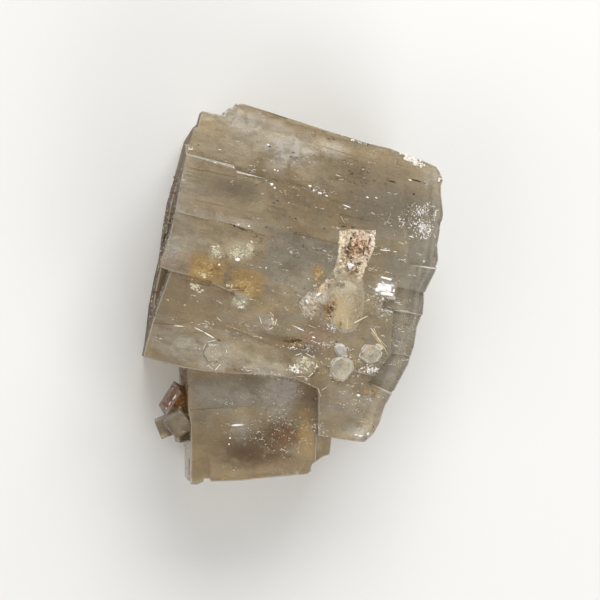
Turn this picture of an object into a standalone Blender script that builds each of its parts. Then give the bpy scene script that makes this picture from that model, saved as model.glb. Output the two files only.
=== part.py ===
"""Halite crystal: an intergrown pair of stepped cleavage blocks with a matrix patch and a guest crystal.

The specimen lies on its flat back. +X is to the right, +Y runs up the long side and +Z is the front face.
All sizes below are millimetres; the finished meshes are in metres.
"""
import math

import bmesh
import bpy
from mathutils import Matrix, noise

MM = 0.001

# ---- driving dimensions ----
THICKNESS = 32.0
SECOND_FRONT = 27.0
SECOND_BACK_STEP = 11.0
LEDGE_FLOOR = 3.5
LEDGE_FRONT = 20.0
OVERLAP = 1.0
CLEAR_ABOVE = 40.0
CLEAR_BELOW = -5.0
NODE_GAP = 0.3

# Plan of the big block, clockwise from its top left corner.
MAIN_PLAN = [
    (-18.5, 36.3), (-13.9, 35.3), (-13.3, 36.9), (-12.3, 36.9), (-11.8, 37.8), (-10.2, 37.8), (-0.6, 34.8),
    (8.2, 32.1), (14.3, 30.2), (18.8, 29.2), (21.8, 28.1), (26.5, 26.6), (28.6, 25.7), (29.6, 24.4),
    (30.1, 22.9), (29.7, 22.0), (29.7, 20.0), (30.1, 17.0), (30.1, 15.3), (29.5, 13.5), (28.9, 10.0),
    (29.1, 6.9), (28.0, 4.2), (26.1, 0.6), (26.1, -1.7), (25.8, -4.0), (24.8, -6.6), (24.2, -10.3),
    (23.5, -12.3), (23.2, -13.8), (20.3, -19.1), (19.7, -19.5), (18.3, -22.1), (17.2, -25.6), (15.7, -28.5),
    (14.6, -29.6), (12.1, -29.3), (4.9, -28.1), (4.7, -18.8), (0.0, -16.6), (-5.6, -15.8), (-12.8, -15.5),
    (-18.4, -14.9), (-23.0, -14.2), (-30.1, -12.2), (-29.4, -9.2), (-28.0, -4.4), (-26.5, -0.2), (-24.7, 4.8),
    (-26.8, 5.6), (-26.6, 7.0), (-24.9, 11.8), (-23.9, 16.2), (-23.1, 21.0), (-21.7, 27.6), (-21.8, 29.8),
    (-21.0, 29.6), (-20.1, 32.9), (-19.4, 33.1),
]
# A plate that swells out of the left wall behind the front face, with its floor and ceiling.
LEFT_PLATE_PLAN = [
    (-18.0, 22.0), (-22.9, 22.6), (-24.0, 18.6), (-24.8, 14.0), (-25.6, 7.5), (-26.6, 3.4), (-27.5, -1.3),
    (-27.4, -3.4), (-20.0, -3.4),
]
LEFT_PLATE_LEVELS = (8.0, 21.5)

# Steps where plates have come away from the side walls: plan of what is missing, and its floor and ceiling.
WALL_STEPS = {
    "top_wall_step": ([(-30.0, 33.9), (-16.4, 35.0), (-9.4, 36.2), (5.4, 31.4), (5.4, 44.0), (-30.0, 44.0)],
                      (CLEAR_BELOW, 17.5)),
    "top_wall_notch": ([(3.2, 31.0), (18.6, 26.2), (27.2, 24.2), (36.0, 24.2), (36.0, 44.0), (3.2, 44.0)],
                       (CLEAR_BELOW, 11.0)),
    "right_wall_step": ([(28.3, 40.0), (28.3, 13.2), (27.4, 4.6), (25.0, 0.2), (24.2, -9.8), (36.0, -9.8),
                         (36.0, 40.0)], (CLEAR_BELOW, 22.0)),
    "right_wall_deep": ([(26.7, 40.0), (26.7, 9.0), (23.7, 1.2), (22.2, -9.4), (36.0, -9.4), (36.0, 40.0)],
                        (CLEAR_BELOW, 8.5)),
    "low_wall_step": ([(23.4, -7.4), (19.2, -17.0), (15.6, -24.6), (13.4, -27.6), (13.4, -36.0),
                       (36.0, -36.0), (36.0, -7.4)], (CLEAR_BELOW, 15.0)),
    "foot_wall_step": ([(3.0, -26.9), (9.0, -27.2), (17.5, -28.4), (17.5, -40.0), (3.0, -40.0)],
                       (CLEAR_BELOW, 12.5)),
    "left_wall_step": ([(-16.6, 40.0), (-17.4, 36.0), (-19.9, 32.0), (-22.0, 24.3), (-23.3, 18.9),
                        (-24.1, 14.0), (-25.0, 7.5), (-26.0, 3.4), (-27.1, -1.3), (-27.7, -6.9),
                        (-28.5, -13.1), (-28.8, -20.0), (-40.0, -20.0), (-40.0, 40.0)], (CLEAR_BELOW, 24.5)),
}

# Plan of the second block, clockwise from its hidden top left corner, with the notch in its lower edge.
SECOND_PLAN = [
    (-21.2, -9.0), (5.1, -9.0), (5.1, -22.0), (4.7, -33.5), (3.9, -34.0), (3.8, -35.4), (3.0, -36.0),
    (0.0, -36.2), (-4.4, -36.6), (-10.1, -37.1), (-16.4, -37.3), (-16.7, -36.7), (-17.7, -36.6),
    (-17.9, -37.3), (-19.1, -37.8), (-20.4, -37.8), (-20.4, -25.9), (-21.0, -22.4),
]
SECOND_BACK_PLAN = [
    (-21.0, -9.0), (6.0, -9.0), (6.0, -25.8), (3.6, -26.2), (2.6, -33.4), (-6.0, -34.2), (-6.4, -35.6),
    (-19.4, -36.4), (-20.6, -27.0),
]
LEDGE_PLAN = [(2.0, -20.0), (10.0, -20.0), (8.5, -32.7), (7.1, -33.1), (5.6, -34.1), (2.0, -34.1)]

# Terraces of the front face: plan, height at the plan's first point, rise per mm along X and along Y.
TERRACES = {
    "upper": ([(-26.0, 29.0), (-12.3, 25.6), (-11.8, 24.6), (-6.2, 23.1), (1.4, 21.4), (7.4, 18.6),
               (14.0, 16.6), (14.0, 42.0), (-26.0, 42.0)], 30.4, 0.0255, 0.0),
    "middle": ([(-30.0, 17.8), (-15.9, 14.5), (-12.8, 13.3), (-2.0, 10.8), (-2.0, 5.0), (-10.0, 1.2),
                (-30.0, 1.0)], 31.3, 0.0133, 0.0),
    "lower": ([(-32.0, 6.9), (-24.9, 4.7), (-17.6, 2.8), (-12.5, 0.4), (-8.0, -4.0), (-14.0, -9.2),
               (-17.2, -8.2), (-20.6, -6.3), (-32.0, -5.4)], 30.2, 0.061, 0.0),
    "lowest": ([(-34.0, -4.0), (-16.0, -5.0), (-2.0, -11.0), (-2.0, -20.0), (-34.0, -20.0)],
               30.6, 0.033, 0.0),
    "corner": ([(5.4, -14.0), (18.0, -16.6), (24.0, -18.0), (20.0, -34.0), (3.0, -34.0), (3.0, -16.0)],
               31.4, -0.02, 0.16),
    "flank_high": ([(21.0, 30.0), (34.0, 30.0), (34.0, 5.0), (23.0, 6.0)], 31.4, -0.22, 0.0),
    "flank_mid": ([(20.4, 1.6), (34.0, -1.0), (34.0, -7.0), (19.8, -4.2)], 30.4, -0.08, 0.0),
    "flank_low": ([(19.6, -3.1), (34.0, -5.6), (34.0, -16.0), (19.0, -12.9)], 29.9, -0.1, 0.0),
    "flank_end": ([(19.2, -11.7), (34.0, -14.0), (30.0, -24.0), (14.8, -17.5)], 29.5, -0.12, 0.05),
}
SECOND_TERRACE = ([(-24.0, -22.9), (-10.2, -22.2), (6.0, -21.7), (6.0, -40.0), (-24.0, -40.0)],
                  26.7, 0.0, 0.0)
FRONT_TILT = (-22.0, 32.0, -0.016)

# Steps where plates have come away from the back, so that the specimen rests on the rest of that face.
BACK_STEPS = {
    "back_step_top": ([(-30.0, 22.0), (7.6, 24.5), (8.0, 40.0), (-30.0, 40.0)], 1.6),
    "back_step_right": ([(17.5, 30.0), (34.0, 30.0), (34.0, -2.0), (18.2, 0.0)], 2.4),
    "back_step_foot": ([(-30.0, -31.5), (10.0, -30.4), (10.0, -42.0), (-30.0, -42.0)], 1.9),
}

# The shallow pit of the front face, and what sits in it.
PIT_PLAN = [
    (0.6, -1.0), (2.0, 0.4), (4.4, 1.6), (6.4, 3.4), (7.8, 5.4), (8.6, 8.0), (8.8, 10.4), (8.8, 12.8),
    (11.4, 13.0), (14.0, 12.8), (16.0, 12.8), (15.8, 9.8), (15.0, 7.4), (13.8, 5.4), (13.5, 2.8),
    (13.8, 0.6), (13.6, -2.0), (13.2, -5.0), (11.6, -7.1), (9.2, -7.5), (7.2, -5.6), (6.3, -3.0),
    (5.0, -2.2), (3.2, -4.6), (1.0, -2.8),
]
PIT_FLOOR = 27.6
MATRIX_PLAN = [
    (9.2, 12.4), (11.4, 12.6), (15.6, 12.4), (15.4, 9.9), (14.6, 7.5), (13.4, 5.6), (13.1, 3.2),
    (12.5, 2.8), (11.2, 3.6), (9.4, 3.4), (8.0, 2.2), (6.9, 0.6), (6.2, -1.2), (5.2, -1.7), (3.3, -4.0),
    (1.5, -2.6), (1.1, -1.2), (2.2, 0.0), (4.6, 1.2), (6.7, 3.1), (8.2, 5.2), (9.0, 7.9),
]
MATRIX_TOP = 31.2
MATRIX_TAIL_TOP = 30.2
MATRIX_TAIL = (6.0, -1.0)
MATRIX_RELIEF = 0.45
MATRIX_CUTS = 3
GUEST_CENTRE = (10.0, -2.2, 30.2)
GUEST_SIZE = (5.8, 8.6, 4.6)
GUEST_TURN = math.radians(-12.0)
GUEST_CORNER = 0.34

# Small cube-like crystals on the second block's left wall: centre, edge lengths, turn in degrees.
WALL_CRYSTALS = {
    "wall_crystal_orange": ((-22.2, -22.2, 19.0), (4.6, 6.0, 8.6), (8, 12, -30)),
    "wall_crystal_clear": ((-22.5, -25.0, 22.6), (4.4, 4.6, 5.6), (16, -18, 34)),
    "wall_crystal_small": ((-25.3, -26.7, 19.6), (2.6, 3.9, 3.6), (5, -6, 22)),
    "wall_crystal_foot": ((-21.2, -28.4, 18.2), (3.2, 2.6, 5.0), (0, 8, 12)),
}
# Small six-sided crystals that stand a little out of the front face: centre, radius, height, turn about Z.
FACE_CRYSTALS = {
    "face_crystal_right": ((15.2, -11.9, 30.6), 2.25, 2.6, 8),
    "face_crystal_low": ((9.2, -14.6, 30.8), 2.5, 2.4, 30),
    "face_crystal_left": ((-16.4, -11.4, 30.7), 2.6, 2.0, 30),
    "face_crystal_mid": ((-5.4, -5.0, 31.1), 1.7, 1.8, 12),
    "face_crystal_pale": ((8.9, -10.9, 30.7), 1.35, 1.9, 20),
}
FACE_CRYSTAL_TAPER = 0.72

# Shell-shaped chips on the rims: centre and radius.
CHIPS = {
    "chip_right": ((31.4, 14.2, 31.0), 2.9),
    "chip_corner": ((31.0, 23.2, 33.4), 3.4),
    "chip_top": ((21.0, 29.8, 33.2), 2.6),
    "chip_foot": ((15.4, -30.6, 29.6), 2.8),
    "chip_left": ((-27.6, 2.6, 31.6), 1.6),
}
CHIP_DETAIL = 3

HALITE_COLOUR = (0.30, 0.25, 0.18, 1.0)
MATRIX_COLOUR = (0.52, 0.36, 0.24, 1.0)
GUEST_COLOUR = (0.48, 0.38, 0.22, 1.0)


# ---- helpers ----
def clear_scene():
    """Remove every object and its data, so that the script starts from nothing."""
    for obj in list(bpy.data.objects):
        bpy.data.objects.remove(obj, do_unlink=True)


def make_material(name, colour, roughness, transmission=0.0, ior=1.5):
    """Return a Principled material with a plain colour, roughness and clearness."""
    material = bpy.data.materials.new(name)
    material.use_nodes = True
    shader = material.node_tree.nodes["Principled BSDF"]
    shader.inputs["Base Color"].default_value = colour
    shader.inputs["Roughness"].default_value = roughness
    shader.inputs["Metallic"].default_value = 0.0
    shader.inputs["Transmission Weight"].default_value = transmission
    shader.inputs["IOR"].default_value = ior
    material.diffuse_color = colour
    return material


def mesh_object(name, bm):
    """Turn a bmesh drawn in millimetres into a scene object in metres, with its normals outward."""
    bmesh.ops.recalc_face_normals(bm, faces=bm.faces)
    bmesh.ops.scale(bm, vec=(MM, MM, MM), verts=bm.verts)
    mesh = bpy.data.meshes.new(name)
    bm.to_mesh(mesh)
    bm.free()
    obj = bpy.data.objects.new(name, mesh)
    bpy.context.scene.collection.objects.link(obj)
    return obj


def prism_mesh(plan, floor, ceiling):
    """Return a bmesh prism on a plan; floor and ceiling are functions of x and y giving a height."""
    bm = bmesh.new()
    base = bm.faces.new([bm.verts.new((x, y, floor(x, y))) for x, y in plan])
    raised = bmesh.ops.extrude_face_region(bm, geom=[base])["geom"]
    for vert in raised:
        if isinstance(vert, bmesh.types.BMVert):
            vert.co.z = ceiling(vert.co.x, vert.co.y)
    return bm


def prism(name, plan, floor, ceiling):
    """Return a prism object with a level floor and a level ceiling."""
    return mesh_object(name, prism_mesh(plan, lambda x, y: floor, lambda x, y: ceiling))


def combine(target, tool, operation):
    """Apply a Boolean of the tool to the target, then remove the tool."""
    tool.hide_render = True
    tool.display_type = "WIRE"
    modifier = target.modifiers.new(tool.name, "BOOLEAN")
    modifier.operation = operation
    modifier.solver = "EXACT"
    modifier.object = tool
    depsgraph = bpy.context.evaluated_depsgraph_get()
    result = bpy.data.meshes.new_from_object(target.evaluated_get(depsgraph))
    target.modifiers.clear()
    spent = target.data
    target.data = result
    bpy.data.meshes.remove(spent)
    bpy.data.objects.remove(tool, do_unlink=True)


def finish(obj, material):
    """Weld leftover doubles, drop needless edges on flat faces, and give the object its material."""
    bm = bmesh.new()
    bm.from_mesh(obj.data)
    bmesh.ops.remove_doubles(bm, verts=bm.verts, dist=0.00001)
    bmesh.ops.dissolve_limit(bm, angle_limit=math.radians(0.05), verts=bm.verts, edges=bm.edges)
    bmesh.ops.triangulate(bm, faces=bm.faces)
    bmesh.ops.recalc_face_normals(bm, faces=bm.faces)
    bm.to_mesh(obj.data)
    bm.free()
    obj.data.materials.clear()
    obj.data.materials.append(material)


# ---- the halite ----
def wall_crystal(name, centre, size, turn):
    """Return one small cube-like crystal, turned about its own centre."""
    bm = bmesh.new()
    bmesh.ops.create_cube(bm, size=1.0)
    bmesh.ops.scale(bm, vec=size, verts=bm.verts)
    for angle, axis in zip(turn, "XYZ"):
        bmesh.ops.rotate(bm, matrix=Matrix.Rotation(math.radians(angle), 3, axis), verts=bm.verts)
    bmesh.ops.translate(bm, vec=centre, verts=bm.verts)
    return mesh_object(name, bm)


def face_crystal(name, centre, radius, height, turn):
    """Return one small six-sided crystal that narrows towards its top."""
    bm = bmesh.new()
    bmesh.ops.create_cone(bm, cap_ends=True, segments=6, radius1=radius, radius2=radius * FACE_CRYSTAL_TAPER,
                          depth=height)
    bmesh.ops.rotate(bm, matrix=Matrix.Rotation(math.radians(turn), 3, "Z"), verts=bm.verts)
    bmesh.ops.translate(bm, vec=centre, verts=bm.verts)
    return mesh_object(name, bm)


def front_cutter():
    """Return the cutter that tilts the whole front face gently down to the right."""
    start, height, slope = FRONT_TILT
    plan = [(-40.0, -30.6), (40.0, -30.6), (40.0, 44.0), (-40.0, 44.0)]
    bm = prism_mesh(plan, lambda x, y: height + slope * (x - start), lambda x, y: CLEAR_ABOVE)
    return mesh_object("front_face", bm)


def terrace_cutter(name, terrace):
    """Return the cutter that lowers one terrace of a front face to its own slightly tilted plane."""
    plan, height, rise_x, rise_y = terrace
    x0, y0 = plan[0]
    bm = prism_mesh(plan, lambda x, y: height + rise_x * (x - x0) + rise_y * (y - y0),
                    lambda x, y: CLEAR_ABOVE)
    return mesh_object(name, bm)


def chip_cutter(name, centre, radius):
    """Return a ball that leaves a shell-shaped chip in a rim."""
    bm = bmesh.new()
    bmesh.ops.create_icosphere(bm, subdivisions=CHIP_DETAIL, radius=radius)
    bmesh.ops.translate(bm, vec=centre, verts=bm.verts)
    return mesh_object(name, bm)


def build_halite(material):
    """Join the blocks and small crystals, then cut the terraces, the wall steps, the pit and the chips."""
    halite = prism("halite_crystal", MAIN_PLAN, 0.0, THICKNESS)
    combine(halite, front_cutter(), "DIFFERENCE")
    for name, terrace in TERRACES.items():
        combine(halite, terrace_cutter(name, terrace), "DIFFERENCE")
    for name, (plan, levels) in WALL_STEPS.items():
        combine(halite, prism(name, plan, *levels), "DIFFERENCE")
    combine(halite, prism("left_plate", LEFT_PLATE_PLAN, *LEFT_PLATE_LEVELS), "UNION")
    second = prism("second_block", SECOND_PLAN, SECOND_BACK_STEP - OVERLAP, SECOND_FRONT)
    combine(second, terrace_cutter("second_terrace", SECOND_TERRACE), "DIFFERENCE")
    combine(second, prism("second_back", SECOND_BACK_PLAN, 0.0, SECOND_BACK_STEP), "UNION")
    combine(halite, second, "UNION")
    combine(halite, prism("right_ledge", LEDGE_PLAN, LEDGE_FLOOR, LEDGE_FRONT), "UNION")
    for name, (centre, size, turn) in WALL_CRYSTALS.items():
        combine(halite, wall_crystal(name, centre, size, turn), "UNION")
    combine(halite, prism("pit", PIT_PLAN, PIT_FLOOR, CLEAR_ABOVE), "DIFFERENCE")
    for name, crystal in FACE_CRYSTALS.items():
        combine(halite, face_crystal(name, *crystal), "UNION")
    for name, (plan, depth) in BACK_STEPS.items():
        combine(halite, prism(name, plan, CLEAR_BELOW, depth), "DIFFERENCE")
    for name, (centre, radius) in CHIPS.items():
        combine(halite, chip_cutter(name, centre, radius), "DIFFERENCE")
    finish(halite, material)
    return halite


# ---- what sits in the pit ----
def matrix_top(x, y):
    """Return the height of the sediment, which thins out along its tail to the lower left."""
    start, end = MATRIX_TAIL
    share = min(max((start - y) / (start - end), 0.0), 1.0)
    return MATRIX_TOP + (MATRIX_TAIL_TOP - MATRIX_TOP) * share


def build_matrix(material):
    """Return the crumbly sediment that fills the pit around the guest crystal."""
    floor = PIT_FLOOR + NODE_GAP
    bm = prism_mesh(MATRIX_PLAN, lambda x, y: floor, matrix_top)
    bmesh.ops.triangulate(bm, faces=bm.faces)
    bmesh.ops.subdivide_edges(bm, edges=bm.edges, cuts=MATRIX_CUTS, use_grid_fill=True)
    for vert in bm.verts:
        if vert.co.z > MATRIX_TAIL_TOP - 0.1:
            vert.co.z += MATRIX_RELIEF * noise.fractal(vert.co * 0.9, 1.0, 2.0, 3)
    matrix = mesh_object("matrix_patch", bm)
    finish(matrix, material)
    return matrix


def build_guest(material):
    """Return the rounded guest crystal: a box with its corners and edges cut away."""
    bm = bmesh.new()
    bmesh.ops.create_cube(bm, size=1.0)
    bmesh.ops.bevel(bm, geom=bm.edges[:] + bm.verts[:], offset=GUEST_CORNER, segments=2, profile=0.5,
                    affect="EDGES", material=-1)
    bmesh.ops.scale(bm, vec=GUEST_SIZE, verts=bm.verts)
    bmesh.ops.rotate(bm, matrix=Matrix.Rotation(GUEST_TURN, 3, "Z"), verts=bm.verts)
    bmesh.ops.translate(bm, vec=GUEST_CENTRE, verts=bm.verts)
    guest = mesh_object("guest_crystal", bm)
    finish(guest, material)
    return guest


def main():
    """Build the three pieces of the specimen."""
    clear_scene()
    halite_material = make_material("halite", HALITE_COLOUR, 0.25, transmission=0.6, ior=1.544)
    matrix_material = make_material("matrix", MATRIX_COLOUR, 0.9)
    guest_material = make_material("guest", GUEST_COLOUR, 0.4)
    build_halite(halite_material)
    build_matrix(matrix_material)
    build_guest(guest_material)


if __name__ == "__main__":
    main()
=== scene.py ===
"""Dressed halite crystal: clear smoky cleavage blocks with ledges, veils, clay and small guest crystals.

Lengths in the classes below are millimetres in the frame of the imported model: +X right, +Y up the long side,
+Z out of the front face. Meshes are finished in metres.
"""
import logging
import math
import random
from dataclasses import dataclass, field, replace
from enum import Enum
from typing import Iterable, Sequence

import bmesh
import bpy
from mathutils import Matrix, Vector, noise
from mathutils.bvhtree import BVHTree
from mathutils.geometry import intersect_point_line


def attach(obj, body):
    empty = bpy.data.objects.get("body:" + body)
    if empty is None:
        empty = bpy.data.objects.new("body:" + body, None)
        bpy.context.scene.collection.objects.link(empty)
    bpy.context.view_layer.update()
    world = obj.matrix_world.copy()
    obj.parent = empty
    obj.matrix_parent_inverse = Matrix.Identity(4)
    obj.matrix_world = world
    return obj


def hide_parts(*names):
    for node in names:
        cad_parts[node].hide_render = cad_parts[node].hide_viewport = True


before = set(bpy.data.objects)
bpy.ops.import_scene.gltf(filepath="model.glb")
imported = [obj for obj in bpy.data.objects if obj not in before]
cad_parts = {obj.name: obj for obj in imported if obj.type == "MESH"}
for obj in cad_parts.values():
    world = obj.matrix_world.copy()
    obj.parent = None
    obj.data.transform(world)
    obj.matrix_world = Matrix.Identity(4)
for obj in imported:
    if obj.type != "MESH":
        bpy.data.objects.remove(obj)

LOG = logging.getLogger("halite")
MM = 0.001
BODY = "root"
MAIN_CLEAVAGE = math.radians(-14.0)
SECOND_CLEAVAGE = math.radians(2.6)
LOWER_BLOCK = -16.0
UPPER_FRONT = 30.0
LOWER_FRONT = 27.0
FAR_OFF = 60.0
DOWN = Vector((0.0, 0.0, -1.0))
UP = Vector((0.0, 0.0, 1.0))

Colour = tuple[float, float, float]
Point = tuple[float, float]
Place = tuple[float, float, float]
Socket = bpy.types.NodeSocket
Shape = bmesh.types.BMesh
Edge = bmesh.types.BMEdge
Face = bmesh.types.BMFace

CLEAN_SALT: Colour = (0.95, 0.93, 0.88)
# Pale salt for bevelled faces of the small crystals: partly whitish salt, partly painted highlight.
PALE_SALT_AND_HIGHLIGHT: Colour = (0.94, 0.91, 0.84)


def rgba(colour: Colour) -> tuple[float, float, float, float]:
    """Return an opaque colour for a shader socket."""
    return (*colour, 1.0)


def cleavage(y: float) -> float:
    """Return the turn of the cleavage at a place along Y, as the lower block is turned against the upper."""
    return SECOND_CLEAVAGE if y < LOWER_BLOCK else MAIN_CLEAVAGE


def flat_way(angle: float) -> Vector:
    """Return the direction in plan at an angle from +X."""
    return Vector((math.cos(angle), math.sin(angle), 0.0))


def scaled(bm: Shape, factor: float) -> Shape:
    """Scale a bmesh evenly about the origin and return it."""
    bmesh.ops.scale(bm, vec=(factor,) * 3, verts=bm.verts)
    return bm


# ---- node trees ----
class Sheet:
    """A material's node tree, with short calls for the nodes that the finishes share."""

    def __init__(self, name: str) -> None:
        """Start a material with a Principled shader.

        Args:
            name: The material's name.
        """
        self.material = bpy.data.materials.new(name)
        self.material.use_nodes = True
        self.tree = self.material.node_tree
        self.shader = self.tree.nodes["Principled BSDF"]
        self.output = self.tree.nodes["Material Output"]
        self.place = self.tree.nodes.new("ShaderNodeTexCoord").outputs["Object"]

    def give(self, socket: Socket, value: object) -> None:
        """Link a socket to an input, or set the input to a plain value."""
        if isinstance(value, Socket):
            self.tree.links.new(value, socket)
        else:
            socket.default_value = value

    def put(self, node: bpy.types.Node, **values: object) -> bpy.types.Node:
        """Give a node's inputs sockets or plain values, with underscores for spaces, and return the node."""
        for key, value in values.items():
            self.give(node.inputs[key.replace("_", " ")], value)
        return node

    def node(self, kind: str, **values: object) -> bpy.types.Node:
        """Add a node of a kind and give its inputs sockets or plain values."""
        return self.put(self.tree.nodes.new("ShaderNode" + kind), **values)

    def set(self, **values: object) -> None:
        """Give the shader's own inputs sockets or plain values."""
        self.put(self.shader, **values)

    def attribute(self, name: str) -> Socket:
        """Return a number that each face carries under a name."""
        node = self.node("Attribute")
        node.attribute_name = name
        return node.outputs["Fac"]

    def mapped(self, centre: Place = (0, 0, 0), size: Place = (1, 1, 1), turn: float = 0.0) -> Socket:
        """Return object coordinates seen from a place, in units of a size.

        Args:
            centre: The place, in millimetres.
            size: The length along each axis that becomes one unit, in millimetres.
            turn: The turn about Z, in radians.

        Returns:
            The mapped vector.
        """
        node = self.node("Mapping")
        node.vector_type = "TEXTURE"
        self.put(node, Vector=self.place, Location=[c * MM for c in centre], Rotation=(0.0, 0.0, turn),
                 Scale=[s * MM for s in size])
        return node.outputs["Vector"]

    def noise(self, size: Place, detail: float, rough: float, warp: float = 0.0, centre: Place = (0, 0, 0),
              turn: float = MAIN_CLEAVAGE) -> Socket:
        """Return noise whose cells have a size and lie along a turn.

        Args:
            size: The size of a cell along each axis, in millimetres.
            detail: The number of finer layers.
            rough: The strength of each finer layer.
            warp: How far the cells are bent.
            centre: The place that the cells are laid from, in millimetres.
            turn: Their turn about Z, in radians.

        Returns:
            The noise, from nothing to one.
        """
        node = self.node("TexNoise", Scale=1.0, Detail=detail, Roughness=rough, Distortion=warp,
                         Vector=self.mapped(centre, size, turn))
        return node.outputs["Fac"]

    def cells(self, vector: Socket) -> Socket:
        """Return the distance to the border of the nearest cell, with one cell per unit of the vector."""
        node = self.node("TexVoronoi", Scale=1.0, Vector=vector)
        node.feature = "DISTANCE_TO_EDGE"
        return node.outputs["Distance"]

    def ball(self, vector: Socket) -> Socket:
        """Return one at the vector's origin, falling to nothing one unit away."""
        node = self.node("TexGradient", Vector=vector)
        node.gradient_type = "SPHERICAL"
        return node.outputs["Fac"]

    def box(self, vector: Socket, edge: float) -> Socket:
        """Return one inside the unit square of a vector, falling to nothing over a soft border inside it."""
        node = self.node("SeparateXYZ", Vector=vector)
        sides = [self.math("ABSOLUTE", node.outputs[axis], 0.0) for axis in range(3)]
        far = self.math("MAXIMUM", self.math("MAXIMUM", sides[0], sides[1]), sides[2])
        return self.span(far, 1.0 - edge, 1.0, 1.0, 0.0)

    def span(self, value: Socket, low: float, high: float, start: float = 0.0,
             end: float = 1.0) -> Socket:
        """Return a value whose range low to high is stretched to start to end, and held there."""
        node = self.node("MapRange", Value=value, From_Min=low, From_Max=high, To_Min=start, To_Max=end)
        return node.outputs["Result"]

    def math(self, operation: str, first: object, second: object) -> Socket:
        """Return the result of a Math node on sockets or numbers."""
        node = self.node("Math")
        node.operation = operation
        self.give(node.inputs[0], first)
        self.give(node.inputs[1], second)
        return node.outputs["Value"]

    def times(self, first: object, second: object) -> Socket:
        """Return the product of two sockets or numbers."""
        return self.math("MULTIPLY", first, second)

    def mix(self, share: Socket, first: object, second: object) -> Socket:
        """Return a mix of two colours, each a socket or a plain colour."""
        node = self.node("Mix")
        node.data_type = "RGBA"
        self.put(node, Factor=share)
        for socket, value in ((node.inputs[6], first), (node.inputs[7], second)):
            self.give(socket, value if isinstance(value, Socket) else rgba(value))
        return node.outputs[2]

    def scale(self, colour: Socket, share: Socket) -> Socket:
        """Return a colour made lighter or darker by a share, and never brighter than clean salt."""
        lit, held = self.node("VectorMath"), self.node("VectorMath")
        lit.operation, held.operation = "SCALE", "MINIMUM"
        self.give(lit.inputs[0], colour)
        self.put(lit, Scale=share)
        self.give(held.inputs[0], lit.outputs[0])
        self.give(held.inputs[1], CLEAN_SALT)
        return held.outputs[0]

    def bump(self, height: Socket, depth: float, strength: float) -> None:
        """Feed the shader's normal from a height.

        Args:
            height: The height, from nothing to one.
            depth: The depth of a full step, in millimetres.
            strength: The share of the bump that is used.
        """
        node = self.node("Bump", Distance=depth * MM, Strength=strength, Height=height)
        self.set(Normal=node.outputs["Normal"])

    def absorb(self, colour: Colour, density: float) -> None:
        """Fill the solid with plain absorption."""
        node = self.node("VolumeAbsorption", Color=rgba(colour), Density=density)
        self.put(self.output, Volume=node.outputs["Volume"])


# ---- finishes ----
class Tone(Enum):
    """The colours that tint the halite in patches."""

    BROWN = (0.44, 0.335, 0.20)
    PALE = (0.82, 0.78, 0.67)
    MIST = (0.92, 0.91, 0.88)
    CLEAR_GREY = (0.38, 0.39, 0.355)
    SMOKE = (0.20, 0.145, 0.09)
    ROSE = (0.58, 0.38, 0.28)
    OCHRE = (0.72, 0.49, 0.20)
    ORANGE = (0.62, 0.35, 0.10)
    GOLD = (0.90, 0.66, 0.28)
    RUST = (0.32, 0.115, 0.03)
    AMBER = (0.27, 0.10, 0.022)
    HONEY = (0.20, 0.062, 0.006)
    CREAM = (0.90, 0.80, 0.57)
    BUTTER = (0.98, 0.91, 0.68)
    SALMON = (0.62, 0.33, 0.19)
    BLUSH = (0.74, 0.56, 0.45)
    IVORY = (0.76, 0.72, 0.60)
    SILVER = (0.50, 0.46, 0.41)
    UMBER = (0.13, 0.065, 0.03)
    DUSK = (0.33, 0.28, 0.20)
    OLIVE = (0.26, 0.21, 0.11)
    SLATE = (0.36, 0.34, 0.285)


@dataclass(frozen=True)
class Patch:
    """A tinted patch of a finish: centre and half sizes in plan, tone, strength, raggedness and place.

    It is round and soft, or, where edge is given, square to the cleavage with a soft border of that share.
    """

    x: float
    y: float
    half_x: float
    half_y: float
    tone: Tone
    strength: float = 0.6
    ragged: float = 0.3
    depth: float = 14.0
    edge: float = 0.0
    z: float = UPPER_FRONT
    turn: float = MAIN_CLEAVAGE


def tints(*rows: tuple, z: float = UPPER_FRONT, turn: float = MAIN_CLEAVAGE) -> tuple[Patch, ...]:
    """Return patches from rows of values in the order of their fields.

    Args:
        rows: The values of each patch. A row that goes on to a height and a turn keeps its own.
        z: The height of the others, in millimetres.
        turn: The turn of the others about Z, in radians.

    Returns:
        The patches.
    """
    whole = 11
    return tuple(Patch(*row) if len(row) == whole else replace(Patch(*row), z=z, turn=turn) for row in rows)


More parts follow.
